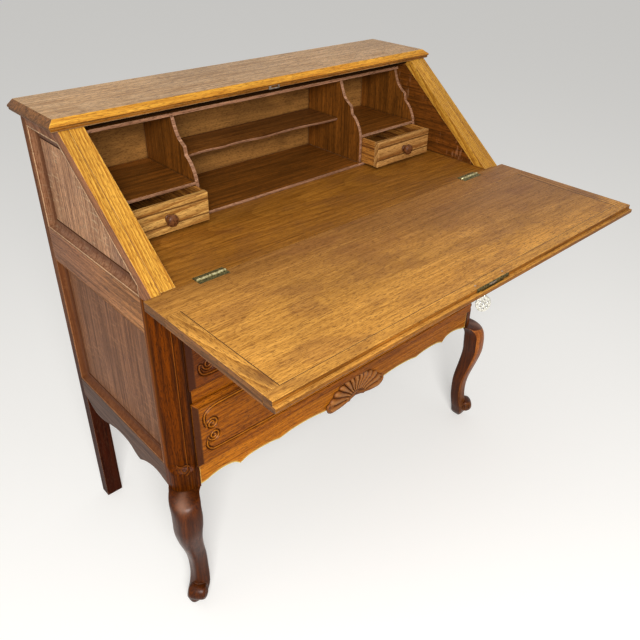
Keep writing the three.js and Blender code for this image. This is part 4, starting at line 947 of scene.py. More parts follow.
def rope(path: list[Vector], radii: list[float], steps: int = 12) -> Solid:
    """Carries a round section along a path.

    Args:
        path: The middle of each section.
        radii: The radius of each section.
        steps: The number of points round.

    Returns:
        The body's points and faces.
    """
    rings = []
    side = None
    for k, place in enumerate(path):
        ahead = (path[min(k + 1, len(path) - 1)] - path[max(k - 1, 0)]).normalized()
        if side is None:
            side = ahead.orthogonal().normalized()
        side = (side - ahead * side.dot(ahead)).normalized()
        other = ahead.cross(side)
        rings.append([
            tuple(place + (side * math.cos(a) + other * math.sin(a)) * radii[k])
            for a in (2 * math.pi * i / steps for i in range(steps))
        ])
    return loft(rings)


def board(xs: np.ndarray, zs: np.ndarray, ys: np.ndarray, back: float) -> Solid:
    """Closes a board behind a carved front.

    Args:
        xs: The places of the front's columns.
        zs: The level of each point, column by column.
        ys: The depth of each point, column by column.
        back: The depth of the board's flat back.

    Returns:
        The board's points and faces.
    """
    columns, rows = zs.shape
    points = [
        (float(xs[i]), float(ys[i, j]), float(zs[i, j])) for i in range(columns) for j in range(rows)
    ]
    low = len(points)
    points += [(float(xs[i]), back, float(zs[i, 0])) for i in range(columns)]
    high = len(points)
    points += [(float(xs[i]), back, float(zs[i, -1])) for i in range(columns)]
    faces: list[tuple[int, ...]] = []
    for i in range(columns - 1):
        a, b = i * rows, (i + 1) * rows
        faces += [(a + j, b + j, b + j + 1, a + j + 1) for j in range(rows - 1)]
        faces.append((a, low + i, low + i + 1, b))
        faces.append((a + rows - 1, b + rows - 1, high + i + 1, high + i))
        faces.append((low + i, high + i, high + i + 1, low + i + 1))
    last = (columns - 1) * rows
    faces.append((*range(rows), high, low))
    faces.append((*range(last, last + rows), high + columns - 1, low + columns - 1))
    return points, faces


def board_tones(front: np.ndarray) -> np.ndarray:
    """Gives a board's points their tones, with none at its back.

    Args:
        front: The tones of the carved front, column by column.

    Returns:
        One tone for each of the board's points.
    """
    return np.concatenate([front.ravel(), np.zeros(2 * front.shape[0])])


def inset(outline: Outline, distance: float) -> Outline:
    """Moves the sides of an outline inwards.

    Args:
        outline: Its corners, anticlockwise and with no hollow one.
        distance: How far each side moves.

    Returns:
        The smaller outline.
    """
    count = len(outline)
    corners_in = [Vector(corner) for corner in outline]
    ways = [(corners_in[(i + 1) % count] - corners_in[i]).normalized() for i in range(count)]
    starts = [corner + Vector((-way.y, way.x)) * distance for corner, way in zip(corners_in, ways)]

    def crossing(first: int, second: int) -> Vector:
        """Crosses two moved sides.

        Args:
            first: One side's number.
            second: The other side's number.

        Returns:
            Where they meet.
        """
        gap, one, other = starts[second] - starts[first], ways[first], ways[second]
        return starts[first] + one * (gap.cross(other) / one.cross(other))

    moved = [crossing((i - 1) % count, i) for i in range(count)]
    for i in range(count):
        after = (i + 1) % count
        if (moved[after] - moved[i]).dot(ways[i]) < 0:
            moved[i] = moved[after] = crossing((i - 1) % count, after)
    return [tuple(corner) for corner in moved]


def block(low: Point, high: Point) -> Solid:
    """Makes a plain box.

    Args:
        low: Its lowest corner.
        high: Its highest corner.

    Returns:
        Its points and faces.
    """
    (x0, y0, z0), (x1, y1, z1) = low, high
    return loft([[(x0, y0, z), (x1, y0, z), (x1, y1, z), (x0, y1, z)] for z in (z0, z1)])


def graded(spans: list[tuple[float, float, float]]) -> np.ndarray:
    """Lays lines close together in some spans and further apart in others.

    Args:
        spans: Start, end and greatest step of each span, in order.

    Returns:
        The places of the lines.
    """
    places = [spans[0][0]]
    for start, end, step in spans:
        count = max(1, math.ceil((end - start) / step - 1e-6))
        places += [start + (end - start) * (i + 1) / count for i in range(count)]
    return np.array(places)


def distance_to(path: Outline, us: np.ndarray, vs: np.ndarray) -> np.ndarray:
    """Measures how far each place is from a path.

    Args:
        path: The path's points.
        us: The first coordinate of each place.
        vs: The second coordinate of each place.

    Returns:
        The distances.
    """
    best = np.full(us.shape, np.inf)
    for (au, av), (bu, bv) in zip(path, path[1:]):
        du, dv = bu - au, bv - av
        t = np.clip(((us - au) * du + (vs - av) * dv) / (du * du + dv * dv + 1e-12), 0.0, 1.0)
        best = np.minimum(best, np.hypot(us - au - t * du, vs - av - t * dv))
    return best


def stand(name: str, data: bpy.types.ID) -> bpy.types.Object:
    """Puts a new object in the scene.

    Args:
        name: The object's name.
        data: Its mesh, curve, camera or light.

    Returns:
        The object.
    """
    thing = bpy.data.objects.new(name, data)
    bpy.context.scene.collection.objects.link(thing)
    return thing


def solid_mesh(name: str, solids: list[Solid], tones: list | None) -> bpy.types.Mesh:
    """Makes one mesh of one or more closed bodies.

    Args:
        name: The mesh's name.
        solids: Points and faces of each body.
        tones: For each body one value, or one for each of its points: up to 1 for painted shade and
        dirt in a hollow, from 1 to 2 for the painted deep shadow of a quirk, down to -1 for a painted
        highlight and wear on a ridge.

    Returns:
        The mesh.
    """
    points: list[Point] = []
    faces: list[tuple[int, ...]] = []
    for more_points, more_faces in solids:
        start = len(points)
        points += more_points
        faces += [tuple(start + i for i in face) for face in more_faces]
    mesh = bpy.data.meshes.new(name)
    mesh.from_pydata(points, [], faces)
    work = bmesh.new()
    work.from_mesh(mesh)
    bmesh.ops.recalc_face_normals(work, faces=work.faces)
    for face in work.faces:
        face.smooth = True
    work.to_mesh(mesh)
    work.free()
    if tones:
        values = [np.broadcast_to(tone, len(solid[0])) for solid, tone in zip(solids, tones)]
        carving = mesh.attributes.new("carving", "FLOAT", "POINT")
        carving.data.foreach_set("value", np.concatenate(values).astype(np.float32))
    return mesh


@dataclass
class Case:
    """Places on the case that the other pieces line up with."""

    front: float
    half: float
    leg_top: float
    apron_top: float
    post_top: float
    rail_end: float

    @classmethod
    def measure(cls) -> "Case":
        """Reads the places from the frame.

        Returns:
            The measured case.
        """
        rail_low, rail_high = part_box("drawer_rail")
        post_low, post_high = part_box("front_post_right")
        return cls(
            front=rail_low.y, half=post_high.x, leg_top=post_low.z, apron_top=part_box("apron")[1].z,
            post_top=post_high.z, rail_end=rail_high.x,
        )


@dataclass
class SubAssembly:
    """Pieces that are made together, lined up with the case and finished from the wardrobe."""

    case: Case
    wardrobe: Wardrobe

    def add(self, name: str, mesh: bpy.types.Mesh, body: str, finish: str, slot: str,
            replaces: str | None = None, sharp: float = 40) -> None:
        """Adds one piece.

        Args:
            name: The piece's name.
            mesh: Its shape.
            body: The moving body that it rides on.
            finish: The finish's name.
            slot: Not used.
            replaces: The node that it stands for, if any.
            sharp: The angle in degrees from which an edge is drawn sharp.
        """
        mesh.set_sharp_from_angle(angle=math.radians(sharp))
        piece = stand(name, mesh)
        self.wardrobe.dress(piece, finish)
        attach(piece, body)
        if replaces:
            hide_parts(replaces)

    def add_solids(self, name: str, solids: list[Solid], *place: str, tones: list | None = None,
                   sharp: float = 40) -> None:
        """Adds one piece made of closed bodies.

        Args:
            name: The piece's name.
            solids: Points and faces of each body.
            place: Its body, finish, slot and the node that it stands for, if any.
            tones: The tones of each body.
            sharp: The angle in degrees from which an edge is drawn sharp.
        """
        self.add(name, solid_mesh(name, solids, tones), *place, sharp=sharp)


@dataclass
class CabrioleLeg(SubAssembly):
    """S-shaped front leg, sawn and carved from one block, ending in a scrolled foot."""

    label: str
    side: int
    knee_reach: float = 38 * MM
    lean: float = 18 * MM
    width: float = 46.3 * MM
    scroll_radius: float = 18 * MM
    scroll_half_width: float = 21 * MM
    scroll_out_share: float = 0.44
    scroll_lean_share: float = 0.9
    scroll_lift: float = 42 * MM
    scroll_dome: float = 0.28
    # share of the radius, share of the half width
    scroll_rim: tuple = ((0.86, 0.75), (0.91, 0.65), (0.95, 0.52), (0.98, 0.36), (0.995, 0.18), (1.0, 0.05))
    scroll_steps: int = 48
    # the spiral's first and last radius as shares of the scroll's, and its turns
    spiral: tuple[float, float, int] = (0.24, 0.8, 2)
    groove: float = 2.2 * MM
    groove_width: float = 1.1 * MM
    plain_cut_share: float = 0.18
    # painted highlight on the knee: height share of its middle, its spread and its strength
    knee_highlight_height: float = 0.975
    knee_highlight_reach: float = 0.03
    knee_highlight_tone: float = 0.42
    row_shares: tuple = (
        # height, shift outwards in knee reaches, lean, width in post widths, outer corner's cut
        (1.0, -0.8, 0.0, 0.99, 0.9), (0.99, -0.36, 0.16, 1.05, 0.6), (0.972, 0.0, 0.38, 1.08, 0.5),
        (0.945, 0.22, 0.54, 1.08, 0.46), (0.91, 0.34, 0.67, 1.07, 0.44), (0.86, 0.38, 0.74, 1.07, 0.4),
        (0.8, 0.38, 0.71, 1.05, 0.38), (0.74, 0.34, 0.61, 1.01, 0.36), (0.67, 0.22, 0.53, 0.95, 0.34),
        (0.58, 0.04, 0.55, 0.87, 0.32), (0.5, -0.12, 0.66, 0.8, 0.3), (0.43, -0.21, 0.8, 0.75, 0.28),
        (0.36, -0.24, 0.9, 0.71, 0.26), (0.28, -0.22, 0.96, 0.7, 0.25), (0.215, -0.15, 1.0, 0.72, 0.26),
        (0.15, -0.06, 0.92, 0.76, 0.28), (0.09, -0.08, 0.6, 0.76, 0.3), (0.045, -0.16, 0.3, 0.72, 0.3),
        (0.012, -0.24, 0.0, 0.62, 0.3), (0.0, -0.26, -0.05, 0.52, 0.3),
    )

    def build(self) -> None:
        """Makes the leg."""
        shaft, tone = self._shaft()
        self.add_solids(f"cabriole_leg_{self.label}", [shaft, self._scroll()], "case", f"leg_{self.label}",
                        "post_oak", f"front_leg_{self.label}", tones=[tone, 0.0], sharp=50)

    def _place(self, out_share: float, lean_share: float) -> tuple[float, float]:
        """Finds the middle of a section.

        Args:
            out_share: How far out it stands along the diagonal, in knee reaches.
            lean_share: How far it leans inwards.

        Returns:
            X and Y.
        """
        out = out_share * self.knee_reach * math.sqrt(0.5)
        return self.side * (self.case.half + out - lean_share * self.lean), self.case.front - out

    def _section(self, half: float, outer_cut: float, other_cut: float) -> list:
        """Draws a square section with rounded corners.

        Args:
            half: Half the section's width.
            outer_cut: What is cut from the corner that faces outwards.
            other_cut: What is cut from the other corners.

        Returns:
            The outline's points.
        """
        points = []
        for i, (sx, sy, cut) in enumerate((
            (1, -1, outer_cut), (1, 1, other_cut), (-1, 1, other_cut), (-1, -1, other_cut),
        )):
            share = 0.29 + 0.21 * cut / (half + half)
            along_x = (sx * (half - cut), sy * half)
            middle = (sx * (half - share * cut), sy * (half - share * cut))
            along_y = (sx * half, sy * (half - cut))
            points += [along_x, middle, along_y] if i % 2 == 0 else [along_y, middle, along_x]
        return rounded([(self.side * x, y) for x, y in points], 2)

    def _shaft(self) -> tuple[Solid, np.ndarray]:
        """Makes the leg down to the floor, with a painted highlight on the knee.

        Returns:
            The shaft's points and faces, and the tone of each point.
        """
        rings, tones = [], []
        for height, shift, lean, width_share, cut_share in between(self.row_shares, 5):
            width = width_share * self.width
            plain = min(self.plain_cut_share, (1 - cut_share) / 2)
            cx, cy = self._place(shift, lean)
            section = self._section(width / 2, cut_share * width, plain * width)
            rings.append([(cx + x, cy + y, height * self.case.leg_top) for x, y in section])
            # painted highlight on the knee's outer corner, laid with the ridge tones
            rub = self.knee_highlight_tone * math.exp(-((height - self.knee_highlight_height) / self.knee_highlight_reach) ** 2)
            tones += [
                -rub * max(0.0, (self.side * x - y) / math.hypot(x, y) / math.sqrt(2)) ** 6 for x, y in section
            ]
        shaft = loft(rings)
        return shaft, np.array(tones + [0.0] * (len(shaft[0]) - len(tones)))

    def _scroll(self) -> Solid:
        """Makes the rolled foot with a spiral cut into both ends.

        Returns:
            The scroll's points and faces.
        """
        x, y = self._place(self.scroll_out_share, self.scroll_lean_share)
        middle = Vector((x, y, self.scroll_lift))
        axis = Vector((self.side, 1.0, 0.0)).normalized()
        out = Vector((self.side, -1.0, 0.0)).normalized()
        up = Vector(UPWARDS)
        face = [(r, 1.0 - self.scroll_dome * r * r) for r in np.linspace(0.02, 0.8, 30)]
        profile = [*face, *self.scroll_rim]
        profile += [(r, -w) for r, w in reversed(profile)]
        rings = []
        for r, w in profile:
            ring = []
            for i in range(self.scroll_steps):
                angle = 2 * math.pi * i / self.scroll_steps
                radius = r * self.scroll_radius
                depth = w * self.scroll_half_width - math.copysign(self._spiral(radius, angle), w)
                ring.append(tuple(
                    middle + axis * depth + (out * math.cos(angle) + up * math.sin(angle)) * radius
                ))
            rings.append(ring)
        return loft(rings)

    def _spiral(self, radius: float, angle: float) -> float:
        """Gives the depth of the spiral groove.

        Args:
            radius: Distance from the scroll's eye.
            angle: Angle round the eye.

        Returns:
            The depth.
        """
        inner, outer, turns = self.spiral
        growth = math.log(outer / inner) / (2 * math.pi * turns)
        depth = 0.0
        for turn in range(turns):
            line = inner * math.exp(growth * (angle + 2 * math.pi * turn)) * self.scroll_radius
            depth = max(depth, self.groove * math.exp(-((radius - line) / self.groove_width) ** 2))
        return depth


@dataclass
class FrontPost(SubAssembly):
    """Corner post with a rounded cant, a fillet and a cove, which stop at a small carved leaf."""

    label: str
    side: int
    width: float = 46.3 * MM
    depth: float = 48.2 * MM
    block_height: float = 42 * MM
    stop_height: float = 16 * MM
    leaf_rise: float = 1.6 * MM
    # the leaf is painted a little paler, as highlight and wear
    leaf_tone: float = -0.2
    leaf_drop: float = 4 * MM
    # along the cant, above the block, outwards in millimetres; the two brows, the cup and its heart
    leaf_strokes: tuple = (
        ((-10, 26, 0.6), (-6, 22, 1.0), (-1, 21, 1.2), (3, 24, 1.2)),
        ((3, 24, 1.2), (8, 27, 1.0), (13, 26.5, 0.2), (16, 22, -0.6)),
        ((-8, 19, 0.8), (-6, 10, 1.0), (0, 3, 1.2), (7, 3, 1.0), (13, 9, 0.0), (15, 17, -0.6)),
        ((-2, 17, 0.8), (1, 10, 1.4), (6, 9, 1.2), (9, 15, 0.6)),
    )
    fillet_tones: tuple = (
        # point of the cant, tone: pale outer edge, painted highlight on the fillet, painted shade in its quirk
        # and on the strip by the drawers
        (1, -0.4), (2, -0.2), (10, -0.7), (12, 0.8), (16, 0.5), (17, 0.8), (18, 0.8), (19, 0.8),
    )
    cant_shares: tuple = (
        # share of the width from the inner face, share of the depth from the back
        (1, 0), (1, 0.115), (0.985, 0.15), (0.93, 0.235), (0.832, 0.36), (0.745, 0.45), (0.66, 0.535),
        (0.56, 0.615), (0.47, 0.672), (0.405, 0.735), (0.378, 0.745), (0.355, 0.722), (0.33, 0.71),
        (0.29, 0.725), (0.248, 0.764), (0.2, 0.81), (0.162, 0.865), (0.14, 0.94), (0.132, 1), (0, 1), (0, 0),
    )
    block_shares: tuple = (
        (1, 0), (1, 0.3), (0.99, 0.42), (0.955, 0.53), (0.9, 0.62), (0.84, 0.69), (0.77, 0.755),
        (0.69, 0.81), (0.6, 0.86), (0.52, 0.893), (0.49, 0.885), (0.46, 0.905), (0.42, 0.925),
        (0.39, 0.917), (0.36, 0.94), (0.3, 0.962), (0.27, 0.955), (0.24, 0.975), (0.12, 1), (0, 1), (0, 0),
    )

    def build(self) -> None:
        """Makes the post."""
        (shaft, tone), leaf = self._post(), self._leaf()
        self.add_solids(f"canted_post_{self.label}", [shaft, *leaf], "case", "post", "post_oak",
                        f"front_post_{self.label}", tones=[tone, *[self.leaf_tone] * len(leaf)], sharp=32)

    def _outline(self, block_share: float) -> Outline:
        """Draws the post's section.

        Args:
            block_share: 0 in the moulded part, 1 in the plain block below.

        Returns:
            The section's points.
        """
        inner = self.case.half - self.width
        back = self.case.front + self.depth
        points = []
        for (cw, cd), (bw, bd) in zip(self.cant_shares, self.block_shares):
            w = cw + (bw - cw) * block_share
            d = cd + (bd - cd) * block_share
            points.append((self.side * (inner + w * self.width), back - d * self.depth))
        return points

    def _post(self) -> tuple[Solid, np.ndarray]:
        """Moulds the post.

        Returns:
            The post's points and faces, and the tone of each point.
        """
        stop = self.case.leg_top + self.block_height
        levels = [(self.case.leg_top, 1.0), (stop, 1.0)]
        for i in range(1, 9):
            t = i / 8
            levels.append((stop + t * self.stop_height, 0.5 + 0.5 * math.cos(math.pi * t)))
        levels.append((self.case.post_top, 0.0))
        tones = np.zeros((len(levels), len(self.cant_shares)))
        for i, tone in self.fillet_tones:
            tones[:, i] = [tone * (1 - share) for _, share in levels]
        shaft = loft([[(x, y, z) for x, y in self._outline(share)] for z, share in levels])
        return shaft, tones.ravel()

    def _leaf(self) -> list[Solid]:
        """Carves the small leaf at the foot of the cant.

        Returns:
            The leaf's raised lines.
        """
        outline = self._outline(0.6)
        middle = Vector((*outline[7], self.case.leg_top + self.block_height))
        along = Vector((-self.side, -1.0, 0.0)).normalized()
        out = Vector((self.side, -1.0, 0.0)).normalized()
        solids = []
        for stroke in self.leaf_strokes:
            path = [
                middle + along * (a * MM) + Vector((0, 0, h * MM - self.leaf_drop)) + out * (o * MM)
                for a, h, o in between(stroke, 5)
            ]
            last = len(path) - 1
            radii = [self.leaf_rise * (0.35 + 0.65 * math.sin(math.pi * k / last)) for k in range(last + 1)]
            solids.append(rope(path, radii, 8))
        return solids


@dataclass
class SidePanels(SubAssembly):
    """Panels of the two sides, each framed by a bead and a cove, with painted shade on the cove and a painted
    shadow line at the cove's foot.
    """

    # distance from the groove in the frame and depth below the frame's face in millimetres, tone
    # tones: paler on the bead, painted shade in the frame's groove and on the cove, painted deep shadow at the
    # cove's foot
    steps: tuple = (
        (0.0, 18.0, 0.9), (0.0, 1.4, 0.7), (0.35, 0.4, 0.0), (1.0, 0.0, -0.15), (1.9, 0.0, -0.15),
        (2.8, 0.5, -0.1), (3.2, 1.6, 0.9), (3.6, 3.0, 0.75), (5.2, 5.2, 0.7), (7.2, 7.4, 0.75),
        (9.8, 9.3, 0.8), (12.8, 10.7, 0.85), (15.8, 11.5, 0.9), (18.4, 11.8, 1.0), (18.7, 13.6, 1.5),
        (20.7, 13.6, 1.6), (21.0, 12.0, 1.3), (21.6, 12.0, 0.3), (23.0, 12.0, 0.0),
    )

    def build(self) -> None:
        """Makes the four panels."""
        for label, side in SIDES.items():
            for level in ("upper", "lower"):
                node = f"side_{level}_panel_{label}"
                outline = self._opening(node)
                rings, tones = [], []
                for distance, depth, tone in self.steps:
                    x = side * (self.case.half - depth * MM)
                    rings.append([(x, y, z) for y, z in inset(outline, distance * MM)])
                    tones += [tone] * len(outline)
                self.add_solids(f"{node}_beaded", [loft(rings)], "case", f"side_{level}", "side_oak", node,
                                tones=[np.array(tones)], sharp=30)

    def _opening(self, node: str) -> Outline:
        """Finds the outline of a panel's inner face.

        Args:
            node: The panel's solid.

        Returns:
            Its corners as Y and Z, anticlockwise.
        """
        points = [tuple(vertex.co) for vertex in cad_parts[node].data.vertices]
        inner = min(abs(x) for x, _, _ in points)
        found = {(round(y, 6), round(z, 6)) for x, y, z in points if abs(x) < inner + 0.1 * MM}
        middle = Vector([sum(values) / len(found) for values in zip(*found)])
        return sorted(found, key=lambda corner: math.atan2(corner[1] - middle.y, corner[0] - middle.x))


@dataclass
class Apron(SubAssembly):
    """Front apron, sawn to a waved edge, with a shell carved in its middle."""

    thickness: float = 22 * MM
    arch: float = 14 * MM
    shell_middle: float = 4 * MM
    shell_foot: float = 313 * MM
    shell_half_width: float = 86 * MM
    shell_height: float = 60 * MM
    relief: float = 8.5 * MM
    # the scrolls are painted a little paler, as highlight and wear
    scroll_tone: float = -0.15
    rubbed: float = 4 * MM
    rubbed_depth: float = 0.4 * MM
    sunk: float = 2 * MM
    eye: tuple[float, float] = (-78.5 * MM, 323.5 * MM)
    # radius and height of the eye's button, in millimetres
    eye_rows: tuple = ((0.1, 7.2), (2, 6.8), (3.6, 5), (4.2, 2), (4.2, -1))
    edge_lobe_shares: tuple = (
        # share of the half width, share of the arch above the leg joint; each list ends on a cusp
        ((1.0, 0.36), (0.967, 0.45), (0.93, 0.78), (0.868, 1.0), (0.81, 0.72), (0.775, -0.1)),
        ((0.775, -0.1), (0.725, 0.4), (0.658, 0.52), (0.58, 0.4), (0.527, 0.08)),
        ((0.527, 0.08), (0.45, 0.42), (0.36, 0.5), (0.28, 0.35), (0.218, 0.1)),
    )
    rib_degrees: tuple = (-99, -84, -68, -52, -37, -22, -9, 9, 22, 37, 52, 68, 84, 99)
    scroll_points: tuple = (
        # from the middle to the eye of the left scroll: across, up, and the rope's radius
        (0, 327, 2.6), (-8, 320, 3.2), (-22, 314.5, 3.8), (-40, 310.5, 4.2), (-58, 308.5, 4.4),
        (-74, 309, 4.3), (-84, 313.5, 4.0), (-88, 321, 3.6), (-84.5, 328, 3.2), (-77, 330, 2.9),
        (-71.5, 326, 2.7), (-72, 320, 2.6), (-77, 318.5, 2.8),
    )

    def build(self) -> None:
        """Makes the apron's board and its shell."""
        plate, tone = self._board()
        self.add_solids("apron_board", [plate], "case", "apron", "apron_oak", "apron", tones=[tone])
        (fan, tone), scrolls = self._shell(), self._scrolls()
        self.add_solids("apron_shell", [fan, *scrolls], "case", "shell", "apron_oak",
                        tones=[tone, *[self.scroll_tone] * len(scrolls)], sharp=60)

    def _edge(self) -> tuple[np.ndarray, np.ndarray]:
        """Draws the lower edge from the left end to the right.

        Returns:
            Places across the apron and the level of the edge at each.
        """
        right: Outline = []
        for lobe in self.edge_lobe_shares:
            right += between(lobe, 8)[:-1]
        right.append(self.edge_lobe_shares[-1][-1])
        places = [(share * self.case.rail_end, self.case.leg_top + rise * self.arch) for share, rise in right]
        flat = np.linspace(places[-1][0], -places[-1][0], 12)[1:-1]
        middle = [(float(x), places[-1][1]) for x in flat]
        whole = sorted(set([(-x, z) for x, z in places] + middle + places))
        return np.array([x for x, _ in whole]), np.array([z for _, z in whole])

    def _board(self) -> tuple[Solid, np.ndarray]:
        """Makes the board with a rubbed lower edge.

        Returns:
            Its points and faces, and the tone of each point.
        """
        xs, edge = self._edge()
        shares = np.array([0, 0.008, 0.02, 0.04, 0.07, 0.12, 0.25, 0.5, 0.75, 1.0])
        zs = edge[:, None] + (self.case.apron_top - edge)[:, None] * shares[None, :]
        near = np.clip(1 - (zs - edge[:, None]) / self.rubbed, 0, 1)
        ys = self.case.front + self.rubbed_depth * near ** 2
        return board(xs, zs, ys, self.case.front + self.thickness), board_tones(-np.clip(1.6 * near, 0, 1))

    def _shell(self) -> tuple[Solid, np.ndarray]:
        """Carves the fan of flutes.

        Returns:
            Its points and faces, and the tone of each point.
        """
        ribs = self.rib_degrees
        rings_count, per_rib = 30, 14
        angles = [
            math.radians(a + (b - a) * i / per_rib) for a, b in zip(ribs, ribs[1:]) for i in range(per_rib)
        ] + [math.radians(ribs[-1])]
        rings, tones = [], []
        for k in range(rings_count + 1):
            share = k / rings_count
            ring = []
            tones.append(0.8)
            for n, angle in enumerate(angles):
                phase = (n % per_rib) / per_rib
                crown = math.sin(math.pi * phase)
                reach = self._reach(angle) * (0.93 + 0.07 * crown ** 0.6)
                radius = share * reach
                roll = math.sqrt(max(0.0, 1 - max(0.0, (share - 0.8) / 0.2) ** 2))
                flute = 0.42 + 0.58 * crown ** 0.8 if share > 0.3 else 0.8
                heart = 0.28 * math.exp(-((share - 0.3) / 0.07) ** 2)
                swell = 0.35 + 0.65 * min(1.0, share / 0.8) ** 1.2
                height = self.relief * (swell * flute * roll + heart)
                # painted highlight and wear on the ribs' crowns; painted shade and dirt in the flutes, at the
                # root and round the rim
                tones.append(0.9 - 1.6 * crown ** 0.7 if 0.3 < share < 0.97 else 0.5)
                ring.append((
                    self.shell_middle + radius * math.sin(angle),
                    self.case.front - height,
                    self.shell_foot + radius * math.cos(angle),
                ))
            behind = self.case.front + self.sunk
            first, final = ring[0], ring[-1]
            ring = [(first[0], behind, first[2]), *ring, (final[0], behind, final[2])]
            rings.append(ring)
            tones.append(0.8)
        fan = self._closed_fan(rings)
        return fan, np.array(tones + [0.8] * (len(fan[0]) - len(tones)))

    def _closed_fan(self, rings: list[list[Point]]) -> Solid:
        """Closes the fan with a rim and a flat back.

        Args:
            rings: Its front, ring by ring from the root to the tips.

        Returns:
            The fan's points and faces.
        """
        count = len(rings[0])
        points = [point for ring in rings for point in ring]
        faces: list[tuple[int, ...]] = []
        for k in range(len(rings) - 1):
            faces += [
                (k * count + i, k * count + i + 1, (k + 1) * count + i + 1, (k + 1) * count + i)
                for i in range(count - 1)
            ]
        rim = (len(rings) - 1) * count
        start = len(points)
        points += [(x, self.case.front + self.sunk, z) for x, _, z in rings[-1][1:-1]]
        for i in range(count - 3):
            faces.append((rim + 1 + i, rim + 2 + i, start + i + 1, start + i))
        faces.append((rim, rim + 1, start))
        faces.append((rim + count - 1, start + count - 3, rim + count - 2))
        return points, faces

    def _reach(self, angle: float) -> float:
        """Gives the length of a rib.

        Args:
            angle: Its angle from upright.

        Returns:
            The distance from the shell's root to its tip.
        """
        a, b = self.shell_half_width, self.shell_height
        return a * b / math.hypot(b * math.sin(angle), a * math.cos(angle))

    def _scrolls(self) -> list[Solid]:
        """Carves the two scrolls that the shell rests on.

        Returns:
            Their points and faces.
        """
        solids = []
        rows = between(self.scroll_points, 5)
        for side in SIDES.values():
            path = [
                Vector((
                    self.shell_middle - side * x * MM, self.case.front - (0.8 + 0.5 * r) * MM, z * MM,
                ))
                for x, z, r in rows
            ]
            solids.append(rope(path, [r * MM for _, _, r in rows], 14))
            x, z = self.eye
            eye = Vector((self.shell_middle - side * x, self.case.front + 1 * MM, z))
            solids.append(turned([(r * MM, h * MM) for r, h in self.eye_rows], eye, Vector(FORWARDS), 20))
        return solids


